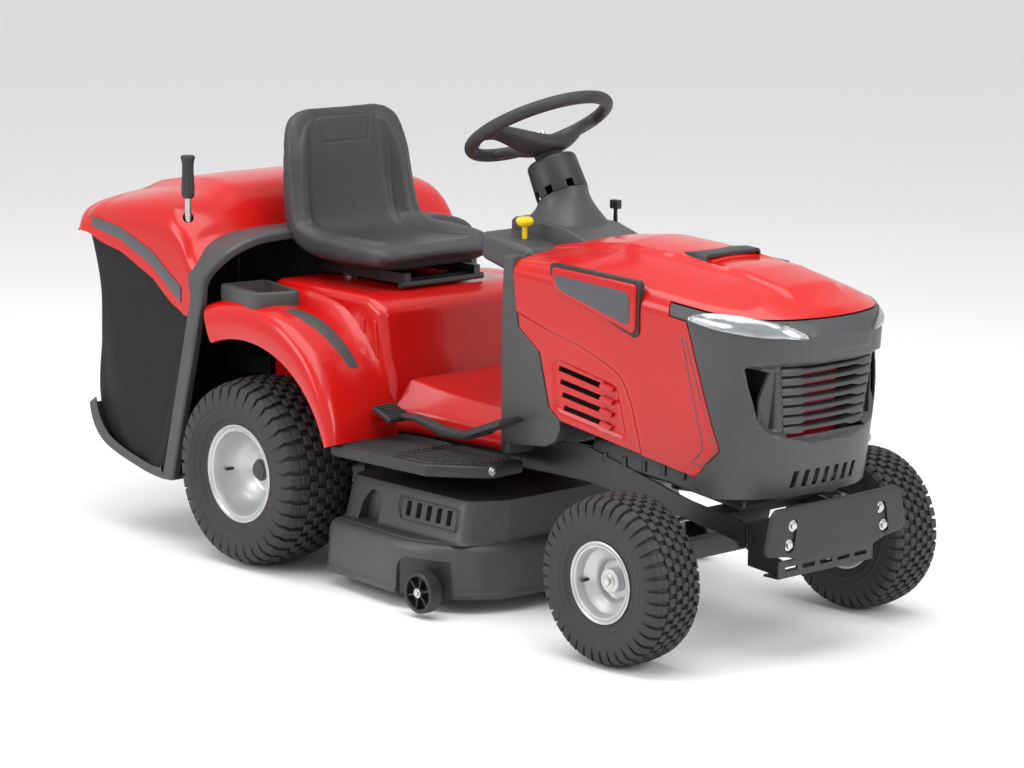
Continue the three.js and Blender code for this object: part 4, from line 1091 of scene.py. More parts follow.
hoodTrim = {
    "gap": [(415, 799), (684, 790), (690, 782), (690, 676), (676, 667), (600, 692), (600, 722), (440, 764),
            (415, 772)],
    "pad": [(421, 792), (676, 783), (682, 776), (682, 684), (672, 676), (440, 738), (430, 748)],
    "inlay": [(434, 776), (650, 765), (664, 754), (667, 700), (654, 694), (450, 744), (440, 754)],
    "decal": [(813, 687), (827, 680), (866, 580), (916, 456), (902, 440), (881, 420), (849, 423),
              (866, 438), (880, 454), (878, 474), (852, 560), (813, 687)],
}
# A black plate behind each pod pad shows as a dark rim round it: painted shade standing for the shadow in
# the seam between pad and hood.
gap = plate("pod_gap", rounded(hoodTrim["gap"], 8), "Y", -238, -222)
pad = softEdges(plate("pod_pad", rounded(hoodTrim["pad"], 12), "Y", -243.5, -216), 4, 3, 40)
inlay = softEdges(plate("pod_inlay", rounded(hoodTrim["inlay"], 9), "Y", -245, -238), 1.2, 2, 40)
louvres = []
for k, z in enumerate((543, 514, 487, 458)):
    corners = [(566, z + 2), (606 - k * 2, z - 5), (613 - k, z + 5), (574, z + 13)]
    louvres.append(softEdges(plate("louvre", rounded(corners, 3), "Y", -234, -226), 2, 2))
vents = together("vent_louvres", *louvres)
# The black plastic on the gap plate is painted shade; the other finishes are the parts' own colours.
for piece, finish, slot in ((gap, blackPlastic, "black_plastic"), (pad, redCover, "red_plastic"),
                            (inlay, inlayGrey, "charcoal_plastic"), (vents, redCover, "red_plastic")):
    name = piece.name
    other = copyOf(piece, name + "_left", acrossMachine)
    piece.name = name + "_right"
    fit(piece, "hood", finish, slot)
    fit(other, "hood", finish, slot)
decal = rod("shield_line_right", [(x, besideNose(x, -0.6), z) for x, z in hoodTrim["decal"]], 1.9, sides=2)
fit(copyOf(decal, "shield_line_left", acrossMachine), "hood", inlayGrey, "charcoal_plastic")
fit(decal, "hood", inlayGrey, "charcoal_plastic")

# The slats are thin and set back in the middle, with raised flat ends.
grille = {"count": 7, "high": 627, "low": 500, "end": 44, "slope": 18, "tall": (15, 8), "deep": 26,
          "set": (15, 22)}
bars = []
for index in range(grille["count"]):
    z = between(grille["high"], grille["low"], index / (grille["count"] - 1))
    half = between(142, 119, (640 - z) / 154) + 2
    rings = []
    marks = (0, 6, grille["end"], grille["end"] + grille["slope"], half * 0.7, half * 0.85, half)
    places = [-half + m for m in marks] + [half - m for m in reversed(marks[:-1])]
    for y in places:
        inner = 1 - ease(half - grille["end"] - grille["slope"], half - grille["end"], abs(y))
        tall, setBack = between(*grille["tall"], inner) / 2, between(*grille["set"], inner)
        x = noseFront(y, z) - setBack
        drop = between(0, 5, inner)
        rings.append([(x, y, z - tall), (x - 2, y, z + tall), (x - grille["deep"], y, z + tall - drop + 8),
                      (x - grille["deep"], y, z - tall - drop + 8)])
    bars.append(softEdges(skin("slat", rings), 1.4, 2))
fit(together("grille_made", *bars), "hood", charcoalPlastic, "charcoal_plastic", "grille")


# A piece of the nose skin between two places, lifted off it.
def nosePatch(name, first, last, low, high, lift, across=10):
    rows = []
    chosen = [k for k, point in enumerate(outlinePoints) if first <= point[0] <= last and point[1] < -60]
    for order, k in enumerate(chosen):
        share = order / (len(chosen) - 1)
        column, out = noseColumns[k], outlineOuts[k]
        line = []
        for step in range(across + 1):
            row = between(low(share), high(share), step / across)
            a, b = column[int(row)], column[min(int(row) + 1, len(column) - 1)]
            part = row - int(row)
            up = ease(nose["flankRows"], nose["flankRows"] + nose["roundRows"], row)
            rise = lift(share, step / across)
            point = [between(p, q, part) for p, q in zip(a, b)]
            line.append((point[0] + out[0] * rise * (1 - up), point[1] + out[1] * rise * (1 - up),
                         point[2] + rise * up))
        rows.append(line)
    return skin(name, rows, closed=False, capped=False)


lampLow = lambda share: nose["flankRows"] + 0.7 - 0.9 * math.sin(math.pi * share)
lampHigh = lambda share: nose["flankRows"] + 1.6 + 3.6 * math.sin(math.pi * share) ** 0.7
bowls = lambda share, up: 0.8 + 2.6 * abs(math.sin(share * math.pi * 3)) * math.sin(math.pi * up)
reflector = thicken(nosePatch("lamp_reflector_right", 832, 1047, lampLow, lampHigh, bowls), 1.2)
glass = thicken(nosePatch("lamp_glass_right", 828, 1051, lampLow, lampHigh, lambda share, up: 4.6), 1.2)
for side, (first, second) in bothSides(glass, reflector):
    fit(first, "hood", lens, "lens", "headlight_" + side)
    fit(second, "hood", mirrorChrome, "zinc_steel")
backs = [softEdges(box("back", (935, 941), (side * 172 - 32, side * 172 + 32), (505, 655)), 2, 2)
         for side in (-1, 1)]
backs += [softEdges(box("back", (937, 1006), (side * 149 - 2.5, side * 149 + 2.5), (508, 648)), 1, 2)
          for side in (-1, 1)]
backs.append(softEdges(box("back", (948, 954), (-128, 128), (362, 424)), 2, 2))
fit(together("intake_backs", *backs), "hood", blackPlastic, "black_plastic")

scoop = {"half": 92, "rings": [(628, 812, 829, 60), (660, 810, 836, 84), (704, 806, 841, 92),
                               (738, 803, 839, 92)]}
rings = [[(x, *point) for point in rounded([(-half, low), (half, low), (half * 0.92, high),
                                            (-half * 0.92, high)], 10)]
         for x, low, high, half in scoop["rings"]]
hatch = softEdges(skin("hood_scoop_made", rings), 2, 2, 50)
cutAway(hatch, box("cut", (690, 760), (-80, -3), (812, 832)), box("cut", (690, 760), (3, 80), (812, 832)),
        box("cut", (650, 705), (-78, 78), (806, 830)))
fit(hatch, "hood", blackPlastic, "black_plastic", "hood_scoop")
print("grille, lamps and scoop made")


# Pan under the engine, which closes the view below the cover

pan = {"side": [(450, 372), (470, 352), (700, 340), (890, 318), (925, 318), (930, 340), (905, 368),
                (690, 404), (470, 412)], "half": 150}
belly = softEdges(plate("engine_pan", pan["side"], "Y", -pan["half"], pan["half"]), 10, 4)
ribs = [softEdges(box("rib", (x, x + 14), (-pan["half"] - 4, pan["half"] + 4), (356, 380)), 3, 2)
        for x in range(500, 880, 60)]
fit(together("engine_pan", belly, *ribs), "chassis", blackSteel, "black_steel")


# Bumper plate with its bolts

bumper = {
    "outline": [(-190, 349), (190, 349), (204, 336), (222, 262), (212, 250), (150, 242), (112, 229),
                (-112, 229), (-150, 242), (-212, 250), (-222, 262), (-204, 336)],
    "bolts": [(138, 308), (150, 268)],
}
front = plate("bumper_plate_made", rounded(bumper["outline"], 14), "X", 1046, 1058)
softEdges(front, 5, 4, 50)
bolts = []
for side in (-1, 1):
    capsule = [(side * y, z) for y, z in ((124, 322), (152, 322), (166, 252), (138, 252))]
    cutAway(front, plate("cut", rounded(capsule, 12), "X", 1053.5, 1070))
    for y, z in bumper["bolts"]:
        bolts.append(bolt("plate_bolt", (1053.4, side * y, z), (1, 0, 0), 15, 5))
fit(front, "chassis", blackPlastic, "charcoal_plastic", "bumper_plate")
fit(together("bumper_bolts", *bolts), "chassis", zincPlate, "zinc_steel")


# Rear body: fenders, seat base and tunnel

fender = {
    "top": [(-560, 604), (-500, 617), (-430, 621), (-372, 619), (-318, 611), (-270, 598), (-232, 577),
            (-190, 544), (-158, 508), (-130, 466), (-108, 424), (-92, 384), (-84, 340)],
    "arch": (-410, 223, 318), "sections": [
        (0, -404, 0), (0, -425, 0), (0, -437, 0), (0.14, -440, 0), (0.42, -441, 0), (0.66, -439, 0),
        (0.82, -434, 0), (0.93, -424, 0), (0.985, -410, 0), (1, -392, 1), (1, -366, 3), (1, -340, 2),
        (1, -312, 0), (1, -284, 2), (1, -262, 8), (1, -248, 16), (1, -240, 18),
    ],
    "stripUp": [(-400, 5), (-340, 5), (-312, 4), (-284, 5)],
}


def fenderPoint(share, section):
    run = through(fender["top"], 8)
    along = share * (len(run) - 1)
    a, b = run[int(along)], run[min(int(along) + 1, len(run) - 1)]
    x, z = between(a[0], b[0], along % 1), between(a[1], b[1], along % 1)
    cx, cz, radius = fender["arch"]
    away = math.atan2(x - cx, z - cz)
    ax, az = cx + radius * math.sin(away), cz + radius * math.cos(away)
    part, y, up = section
    return (between(ax, x, part), y, between(az, z, part) + up * (1 - ease(0.7, 1, share)))


smoothSections = through(fender["sections"], 3)
fenderRows = [[fenderPoint(k / 72, section) for section in smoothSections] for k in range(73)]
guard = skin("fender_made_right", fenderRows, closed=False, capped=False)
thicken(guard, 4, 0)
stripRows = []
for k in range(25):
    share = between(0.33, 0.7, k / 24)
    middle = between(-368, -322, k / 24)
    half = 25 * math.sin(math.pi * between(0.14, 0.86, k / 24)) ** 0.5
    row = []
    for step in range(7):
        up = follow(fender["stripUp"], middle) + 1.2 * math.sin(math.pi * step / 6)
        row.append(fenderPoint(share, (1, middle - half + half * 2 * step / 6, up)))
    stripRows.append(row)
strip = thicken(skin("fender_strip_right", stripRows, closed=False, capped=False), 3)
for side, (first, second) in bothSides(guard, strip):
    fit(first, "chassis", redCover, "red_plastic", "rear_body")
    fit(second, "chassis", charcoalPlastic, "charcoal_plastic")

seatBase = {
    "side": [(-536, 343), (-536, 652), (-184, 650), (-132, 624), (-116, 520), (-96, 470), (-96, 343)],
    "tunnel": [(-130, 470, 246), (-96, 462, 236), (-40, 448, 214), (60, 438, 206), (160, 430, 202),
               (236, 424, 200)],
}
base = softEdges(plate("seat_base_made", seatBase["side"], "Y", -247, 247), 22, 6, 25)
ribs = []
for x in (-250, -206, -164):
    corners = [(x, 600), (x + 12, 600), (x + 22, 470), (x - 6, 470)]
    ribs.append(softEdges(plate("rib", corners, "Y", -252, 252), 4, 3))
base = together("seat_base_made", base, *ribs)
fit(base, "chassis", redCover, "red_plastic", "rear_body")
rings = []
for x, top, half in seatBase["tunnel"]:
    corners = [(-half - 14, 343), (half + 14, 343), (half + 4, 396), (half - 46, top), (-half + 46, top),
               (-half - 4, 396)]
    rings.append([(x, *point) for point in rounded(corners, 26, 6)])
fit(skin("tunnel_made", rings), "chassis", redCover, "red_plastic", "rear_body")

tray = {"outline": [(-548, -400), (-372, -432), (-334, -318), (-532, -266)], "rim": 652}
rim = softEdges(plate("tray_made", rounded(tray["outline"], 26, 6), "Z", 612, tray["rim"]), 4, 4)
cup = plate("cup", rounded([(-536, -390), (-378, -418), (-346, -324), (-524, -278)], 22, 6), "Z", 606, 645)
trayPiece = together("tray_made", rim, softEdges(cup, 3, 2))
hollow = [(-530, -385), (-383, -411), (-354, -329), (-520, -284)]
cutAway(trayPiece, softEdges(plate("cut", rounded(hollow, 20, 6), "Z", 614, 690), 5, 3))
fit(trayPiece, "chassis", charcoalPlastic, "charcoal_plastic", "storage_tray")
print("rear body made")


# Footrests and pedals

footrest = {"outline": [(-125, -204), (306, -204), (312, -300), (262, -352), (196, -404), (-125, -416)],
            "mats": [[(-112, -214), (88, -214), (88, -402), (-112, -408)],
                     [(100, -214), (292, -214), (296, -296), (190, -392),
                                                                          (100, -398)]]}
board = softEdges(plate("board", rounded(footrest["outline"], 16), "Z", 308, 336), 6, 4)
treads = []
for mat in footrest["mats"]:
    sheet = softEdges(plate("mat", rounded(mat, 10), "Z", 335, 338), 1, 2)
    lines = []
    for k in range(13):
        y = -222 - k * 14
        inside = [x for x in range(-110, 296, 2) if insideBy(mat, x, y) > 7]
        if inside:
            line = box("line", (inside[0], inside[-1]), (y - 3, y + 3), (337, 341.5))
            lines.append(softEdges(line, 1.2, 2))
    treads.append(together("mat", sheet, *lines))
mats = together("footrest_mat_right", *treads)
board.name = "footrest_made_right"
for side, (first, second) in bothSides(board, mats):
    fit(first, "chassis", blackPlastic, "black_plastic", "footrest_" + side)
    fit(second, "chassis", hoseRubber, "black_plastic")
cornerBolts = [bolt("corner_bolt", (306, side * 303, 325), (1, side * 0.25, 0.2), 12, 5)
               for side in (-1, 1)]
fit(together("footrest_bolts", *cornerBolts), "chassis", zincPlate, "zinc_steel")

pedals = {
    "arm": [(-40, 388), (20, 392), (110, 370), (190, 374), (262, 398), (262, 408), (190, 392), (120, 390),
            (20, 404), (-40, 400)],
    "pads": [[(-86, 404), (-24, 384), (-20, 395), (-82, 416)],
             [(222, 388), (346, 436), (342, 447), (218, 400)]],
}


def ribbedPad(name, corners, low, high, count):
    (ax, az), (bx, bz), (cx, cz), (dx, dz) = corners
    parts = [softEdges(plate(name, corners, "Y", low, high), 3.5, 3)]
    up = Vector((dx - ax, 0, dz - az)).normalized() * 3
    for k in range(count):
        share = (k + 0.5) / count
        x, z = between(dx, cx, share), between(dz, cz, share)
        parts.append(rod("rib", [(x + up.x * 0.2, low + 4, z + up.z * 0.2),
                                 (x + up.x * 0.2, high - 4, z + up.z * 0.2)], 2.4, sides=2))
    return together(name, *parts)


arm = softEdges(plate("arm", pedals["arm"], "Y", -284, -254), 5, 3)
pads = [ribbedPad("pad", pedals["pads"][0], -320, -252, 7),
        ribbedPad("pad", pedals["pads"][1], -320, -246, 13)]
fit(together("drive_pedal_made", arm, *pads), "drive_pedal", hoseRubber, "black_plastic", "drive_pedal")
lever = softEdges(plate("arm", [(132, 372), (160, 372), (300, 440), (296, 452), (240, 430), (132, 392)],
                        "Y", 252, 272), 4, 3)
press = ribbedPad("pad", [(262, 420), (316, 472), (309, 480), (255, 428)], 238, 306, 6)
fit(together("brake_pedal_made", lever, press), "brake_pedal", hoseRubber, "black_plastic", "brake_pedal")
print("footrests and pedals made")


# Steering wheel, column sleeve and dash

column = {"centre": Vector((123, 0, 1055)), "up": Vector((-0.4818, 0, 0.8763)),
          "ahead": Vector((0.8763, 0, 0.4818)),
          "ring": 163, "grip": 14.8, "ridge": 15.6, "padHalf": 157}


def onColumn(ahead, side, high):
    return column["centre"] + column["ahead"] * ahead + Vector((0, side, 0)) + column["up"] * high


def superRing(half, tall, power, count=40, bottom=1.0):
    found = []
    for k in range(count):
        angle = 2 * math.pi * k / count
        c, s = math.cos(angle), math.sin(angle)
        high = math.copysign(abs(s) ** (2 / power), s) * tall
        found.append((math.copysign(abs(c) ** (2 / power), c) * half, high if high > 0 else high * bottom))
    return found


gripAngles = [k * math.pi / 10 for k in range(20)]
grip = [(column["ring"] + column["grip"] * math.cos(a), column["grip"] * math.sin(a)) for a in gripAngles]
ringPiece = spun("ring", grip, column["centre"], column["up"], 96)
rings = []
for k in range(33):
    y = between(-column["padHalf"], column["padHalf"], k / 32)
    near = 1 - abs(y) / column["padHalf"]
    wide = between(21, 40, ease(0, 1, near)) + 10 * ease(0.15, 0, near)
    thick = between(9, 15, ease(0, 0.7, near))
    level = -47 * ease(0, 0.95, near) - 2
    ahead = between(4, 12, ease(0, 1, near))
    rings.append([onColumn(ahead + a, y, level + b) for a, b in superRing(wide, thick, 3.2, 28, 1.6)])
padPiece = skin("pad", rings)
rings = []
for k in range(17):
    share = k / 16
    wide, thick = between(30, 17, ease(0, 0.8, share)) + 8 * ease(0.85, 1, share), between(15, 9, share)
    rings.append([onColumn(between(-8, -157, share), a, -46 * (1 - ease(0, 1, share)) - 5 + b) for a, b in
                  superRing(wide, thick, 3, 24)])
spoke = skin("spoke", rings)
hub = spun("hub", [(0.5, -92), (27, -92), (30, -88), (34, -60), (44, -48), (44, -40), (0.5, -38)],
           column["centre"],
           column["up"], 48)
ridges = []
for k in range(36):
    angle = math.pi + between(-1.15, 1.15, k / 35)
    middle = [onColumn(math.cos(angle) * r, math.sin(angle) * r, h) for r, h in
              [(column["ring"] + column["ridge"] * math.cos(t), column["ridge"] * math.sin(t)) for t in
               (math.pi * 0.98, math.pi * 1.2, math.pi * 1.45)]]
    ridges.append(rod("ridge", middle, 2, sides=2))
fit(together("steering_wheel_made", ringPiece, padPiece, spoke, hub, *ridges), "steering", hoseRubber,
    "black_plastic",
    "steering_wheel", angle=40)

sleeve = spun("column_sleeve_made", [(14, -84), (52, -84), (56, -87), (58, -92), (61, -164), (60, -168),
                                     (55, -168), (53, -94), (14, -92)], column["centre"], column["up"], 64)
notch = plate("cut", [(-9, -150), (9, -150), (9, -190), (-9, -190)], "X", 0, 90)
turn = Matrix((column["ahead"], Vector((0, 1, 0)), column["up"])).transposed().to_4x4()
for angle in (200, 250, 290, 340):
    around = Matrix.Rotation(math.radians(angle), 4, "Z")
    cutAway(sleeve, copyOf(notch, "cut", Matrix.Translation(column["centre"] * mm) @ turn @ around))
bpy.data.objects.remove(notch)
collar = spun("collar", [(20, -166), (51, -166), (51, -182), (20, -182)], column["centre"], column["up"],
              48)
fit(together("column_sleeve_made", sleeve, collar), "chassis", blackPlastic, "charcoal_plastic",
    "column_cover")

dash = {
    "wing": [(256, 348), (254, 640), (258, 768), (264, 790), (274, 798), (289, 797), (289, 788), (308, 642),
             (375, 595), (408, 476), (443, 450), (446, 432), (430, 402), (400, 386), (262, 372)],
    "shelf": [(122, 770), (230, 742), (276, 742), (292, 800), (270, 812), (121, 832)],
    "apron": [(126, 800), (262, 790), (372, 818), (372, 827), (302, 848), (140, 859), (126, 850)],
    "leverSlot": ((150, 300), (149, 167), (760, 870)),
}
sides = [softEdges(plate("side", dash["wing"], "Y", *span), 7, 4) for span in ((-232, -206), (206, 232))]
wall = softEdges(box("wall", (252, 278), (-230, 230), (345, 797)), 9, 4)
shelf = softEdges(plate("shelf", dash["shelf"], "Y", -178, 178), 14, 5)
for panel in (wall, shelf):
    cutAway(panel, box("cut", *dash["leverSlot"]))
apron = softEdges(plate("apron", dash["apron"], "Y", -86, 86), 8, 4, 20)
rings = []
for k in range(15):
    share = k / 14
    part = ease(0, 1, share) ** 0.6
    ring = []
    for j in range(48):
        angle = 2 * math.pi * j / 48
        c, s = math.cos(angle), math.sin(angle)
        top = column["centre"] + column["up"] * -170 + column["ahead"] * 62 * c + Vector((0, 60 * s, 0))
        low = Vector((216 + math.copysign(abs(c) ** 0.5, c) * 86,
                      math.copysign(abs(s) ** 0.5, s) * 80, 846))
        point = low.lerp(top, part)
        point.z = between(low.z, top.z, share)
        ring.append(point)
    rings.append(ring)
neck = skin("neck", rings)
fit(together("dash_made", wall, *sides, shelf, apron, neck), "chassis", charcoalPlastic, "charcoal_plastic",
    "dash_console",
    angle=40)
print("steering and dash made")


# Seat

seatShape = {
    "stations": [
        (-188, 728, 0.86, 30, 0), (-198, 741, 0.93, 44, 2), (-232, 750, 0.97, 52, 10),
        (-340, 742, 1, 54, 20), (-450, 742, 1, 52, 24), (-516, 768, 0.99, 52, 26),
        (-541, 840, 0.97, 46, 26), (-552, 940, 0.92, 42, 22), (-560, 1010, 0.84, 34, 12),
        (-564, 1038, 0.7, 24, 4), (-565, 1048, 0.5, 14, 0),
    ],
    "half": 205, "panel": [(-82, 1024), (82, 1024), (70, 962), (-70, 962)], "panelDeep": 2.6,
    "creaseAt": 128, "creaseDeep": 1.6, "voxel": 5.5, "pressure": 4, "mostMove": 4,
}


def settle(piece, pressure, holdNames, frames=20, stiffness=40):
    pick(piece)
    cloth = piece.modifiers.new("Cloth", "CLOTH")
    setting = cloth.settings
    setting.quality = 6
    setting.tension_stiffness = setting.compression_stiffness = stiffness
    setting.bending_stiffness = 4
    setting.use_pressure = pressure > 0
    setting.uniform_pressure_force = pressure
    if holdNames:
        setting.vertex_group_mass = holdNames
    else:
        setting.effector_weights.gravity = 0
    cloth.point_cache.frame_start = 1
    cloth.point_cache.frame_end = frames
    for moment in range(1, frames + 1):
        bpy.context.scene.frame_set(moment)
    bpy.ops.object.modifier_apply(modifier=cloth.name)
    bpy.context.scene.frame_set(1)


def limitMoves(piece, before, most):
    for vertex, old in zip(piece.data.vertices, before):
        move = vertex.co - old
        if move.length > most * mm:
            vertex.co = old + move.normalized() * most * mm


path = through(seatShape["stations"], 7)
rings = []
for k, (x, z, wide, thick, bolster) in enumerate(path):
    a, b = path[max(k - 1, 0)], path[min(k + 1, len(path) - 1)]
    run = Vector((b[0] - a[0], 0, b[1] - a[1])).normalized()
    up = Vector((run.z, 0, -run.x))
    half = seatShape["half"] * wide
    ring = []
    for y, n in superRing(half, thick / 2, 4.5, 64):
        edge = abs(y) / half
        raised = bolster * 1.3 * ease(0.56, 0.82, edge) - bolster * 0.25 * (1 - edge * edge)
        lift = raised if n > 0 else raised * 0.6
        ring.append(Vector((x, y, z)) + up * (n - thick / 2 + lift))
    rings.append(ring)
cushion = skin("seat_cushion_made", rings)
modify(cushion, "REMESH", mode="VOXEL", voxel_size=seatShape["voxel"] * mm)
modify(cushion, "SMOOTH", factor=0.6, iterations=6)
before = [vertex.co.copy() for vertex in cushion.data.vertices]
settle(cushion, seatShape["pressure"], "")
limitMoves(cushion, before, seatShape["mostMove"])
modify(cushion, "SUBSURF", levels=1)
pressed = []
for spot, out in [(vertex.co / mm, vertex.normal.copy()) for vertex in cushion.data.vertices]:
    x, y, z = spot
    sink = 0
    if out.x > 0.3 and z > 800:
        sink += seatShape["panelDeep"] * (1 - ease(0, 4.5, abs(insideBy(seatShape["panel"], y, z))))
    if out.x > 0.15 or out.z > 0.3:
        crease = 1 - ease(0, 5, abs(abs(y) - seatShape["creaseAt"]))
        sink += seatShape["creaseDeep"] * crease * ease(-200, -240, x) * (1 - ease(930, 985, z))
    pressed.append(spot - out * sink)
place(cushion, pressed)
fit(cushion, "seat", vinyl, "seat_vinyl", "seat_cushion", angle=60)
print("seat made")


# Grass bag: frame, fabric and lid

bag = {
    "frame": [(-420, 158), (-423, 300), (-427, 480), (-430, 600), (-426, 650), (-408, 690), (-372, 722),
              (-316, 742), (-250, 750), (-120, 752), (0, 752)],
    "lid": [(-1064, 768), (-1060, 786), (-1042, 812), (-1005, 829), (-960, 842), (-890, 854), (-820, 862),
            (-760, 862), (-700, 852), (-664, 826), (-640, 796), (-622, 766), (-600, 744)],
    "skirt": [(-1064, 728), (-1028, 726), (-887, 701), (-760, 650), (-690, 600), (-640, 568), (-560, 566)],
    "rear": [(-1036, 764), (-1008, 660), (-992, 561), (-1006, 480), (-1022, 400), (-1027, 330),
             (-1012, 262), (-975, 218), (-920, 194), (-850, 176), (-780, 162), (-705, 158)],
    "mouth": [(-960, 764), (-860, 745), (-780, 728), (-700, 690), (-640, 640), (-614, 600), (-640, 520),
              (-668, 420), (-690, 340), (-712, 262), (-730, 200), (-738, 172)],
    "half": 424, "clothThick": 1.2, "sagFrames": 22, "stiffness": 25, "mostSag": 14,
    "heldAbove": 715, "heldBelow": 172, "leverAt": (-668, -394),
}
mouthAt = lambda z: -559 + ((z - 614) * 0.282 if z < 614 else (614 - z) * 0.05)
rings = []
edge = through(bag["frame"], 5)
for k, (y, z) in enumerate(edge):
    a, b = edge[max(k - 1, 0)], edge[min(k + 1, len(edge) - 1)]
    run = Vector((b[0] - a[0], b[1] - a[1])).normalized()
    out = Vector((-run.y, run.x))
    x, deep = mouthAt(z), 44 + 58 * ease(610, 740, z)
    x += 44 * ease(640, 745, z)
    rings.append([(x - px, y + out.x * n, z + out.y * n) for px, n in
                  ((0, -9), (0, 9), (6, 13), (deep - 5, 13), (deep, 9), (deep, -9))])
mouthFrame = skin("bag_frame_made", rings)
softEdges(mouthFrame, 3.5, 3, 40)
mouthLeft = copyOf(mouthFrame, "left", acrossMachine)
bars = [rod("bar", [(-740, -410, 720), (-740, 410, 720)], 8),
        rod("bar", [(-690, -418, 166), (-690, 418, 166)], 8)]
fit(together("bag_frame_made", mouthFrame, mouthLeft, *bars), "bag", charcoalPlastic, "charcoal_plastic",
    "bag_frame")

rearLine, mouthLine = through(bag["rear"], 5), through(bag["mouth"], 5)
rows = []
for (rx, rz), (mx, mz) in zip(rearLine, mouthLine):
    side = [(between(mx, rx, k / 40), -bag["half"], between(mz, rz, k / 40)) for k in range(39)]
    way = Vector((rx - mx, rz - mz)).normalized() * 16
    across = [(rx, y, rz) for y in [between(-404, 404, k / 64) for k in range(65)]]
    corner = [(rx - way.x * 0.3, -bag["half"] + 6, rz - way.y * 0.3)]
    left = [(x, -y, z) for x, y, z in reversed(side + corner)]
    rows.append(side + corner + across + left)
fabric = skin("bag_fabric_made", rows, closed=False, capped=False)
held = fabric.vertex_groups.new(name="held")
pinned = [v.index for v in fabric.data.vertices if v.co.z > bag["heldAbove"] * mm
          or v.co.z < bag["heldBelow"] * mm
          or (abs(abs(v.co.y) - bag["half"] * mm) < mm and v.co.x > (mouthAt(v.co.z / mm) - 62) * mm)]
held.add(pinned, 1, "REPLACE")
modify(fabric, "SMOOTH", factor=0.5, iterations=2)
before = [vertex.co.copy() for vertex in fabric.data.vertices]
settle(fabric, 0, "held", bag["sagFrames"], bag["stiffness"])
limitMoves(fabric, before, bag["mostSag"])
modify(fabric, "SUBSURF", levels=1)
thicken(fabric, bag["clothThick"], 0, False)
fit(fabric, "bag", meshCloth, "mesh_fabric", "bag_fabric", angle=60)

tubRows = []
for (rx, rz), (mx, mz) in list(zip(rearLine, mouthLine))[27:]:
    inward = Vector((mx - rx, mz - rz)).normalized() * 30
    tubRows.append([(rx + inward.x, -428, rz + inward.y), (rx, -428.5, rz),
                    (rx - inward.x * 0.12, -425, rz - inward.y * 0.12),
                    (rx - inward.x * 0.15, 0, rz - inward.y * 0.15),
                    (rx - inward.x * 0.12, 425, rz - inward.y * 0.12), (rx, 428.5, rz),
                    (rx + inward.x, 428, rz + inward.y)])
tub = thicken(skin("bag_floor", tubRows, closed=False, capped=False), 2.5, 0, False)
fit(tub, "bag", charcoalPlastic, "charcoal_plastic", angle=40)

lidSections = lambda w, t, low: [(w, low), (w, between(low, t - 82, 0.5)), (w, t - 82), (w - 5, t - 64),
                                 (w - 13, t - 48), (w - 28, t - 34), (w - 48, t - 25), (w - 80, t - 16),
                                 (w - 120, t - 10), (w - 180, t - 5), (w - 260, t - 2), (w - 340, t),
                                 (0, t)]
rows = []
for x, top in through(bag["lid"], 4):
    low = follow(bag["skirt"], x)
    shrink = 6 * ease(-1050, -1064, x)
    raised = 16 * ease(-1020, -960, x) * (1 - ease(-700, -640, x))
    profile = through(lidSections(431 - shrink, max(top, low + 84), low), 2)
    rows.append([(x, -y, z + raised * (1 - ease(250, 290, y)) - raised * 0.5) for y, z in profile])
rows.insert(0, [(-1058, y * 0.998, min(z, 728)) for x, y, z in rows[0]])
lid = skin("bag_lid_made", rows, closed=False, capped=False)
halfToWhole(lid)
thicken(mend(lid, 0.2), 4, even=False)
cutAway(lid, spun("cut", [(0.5, -100), (13, -100), (13, 200), (0.5, 200)], (*bag["leverAt"], 760),
                  (0, 0, 1), 24))
fit(lid, "bag", redCover, "red_plastic", "bag_lid", angle=35)
strip = []
for k in range(41):
    x = between(-1000, -650, k / 40)
    low = follow(bag["skirt"], x) + 22
    wide = between(24, 40, k / 40)
    strip.append([(x, -432.6, low), (x, -433.4, low + 6), (x, -433.4, low + wide - 6),
                  (x, -432.6, low + wide)])
band = thicken(skin("lid_band_right", strip, closed=False, capped=False), 1)
fit(copyOf(band, "lid_band_left", acrossMachine), "bag", inlayGrey, "charcoal_plastic")
fit(band, "bag", inlayGrey, "charcoal_plastic")

pole = spun("tipping_rod_made", [(0.5, 560), (8, 560), (8, 866), (0.5, 866)], (*bag["leverAt"], 0),
            (0, 0, 1), 32)
fit(pole, "tipping_lever", zincPlate, "zinc_steel", "tipping_lever")
rings = []
for z, radius, flute in [(842, 11, 0), (845, 14, 0), (850, 15.5, 0.3), (862, 16, 1), (885, 15, 1),
                         (905, 14, 1), (922, 14, 1), (930, 15, 0.5), (936, 17, 0), (941, 17, 0),
                         (944, 14, 0)]:
    rings.append([(bag["leverAt"][0] + math.cos(a) * r, bag["leverAt"][1] + math.sin(a) * r, z) for a, r in
                  [(k * math.pi / 32, radius - flute * (1 - abs(math.cos(k * math.pi / 8))) * 2.2)
                   for k in range(64)]])
fit(skin("tipping_grip_made", rings), "tipping_lever", hoseRubber, "black_plastic", "tipping_grip")
print("bag made")


# Cutting deck

deck = {
    "rear": -166, "corner": (-122, 362, 44), "nose": (108, 205, 222), "beadHigh": 155.5, "walls": [
        (33, -1), (36, 2), (46, 3), (50, 0), (58, 0), (134, -5), (144, -8), (150, -13), (154, -20),
        (156, -30), (157, -44),
    ],
}


def deckOutline(grow):
    cx, cy, radius = deck["corner"]
    nx, ny, reach = deck["nose"]
    half = [(cx + (radius + grow) * math.cos(a), -cy + (radius + grow) * math.sin(a)) for a in
            [math.radians(between(180, 272, k / 8)) for k in range(9)]]
    half += [(between(half[-1][0], nx - 10, k / 8), between(half[-1][1], -ny - reach - grow, k / 8))
             for k in range(1, 8)]
    half += [(nx + (reach + grow) * math.cos(a), -ny + (reach + grow) * math.sin(a)) for a in
             [math.radians(between(268, 358, k / 24)) for k in range(25)]]
    return half + [(x, -y) for x, y in reversed(half)]


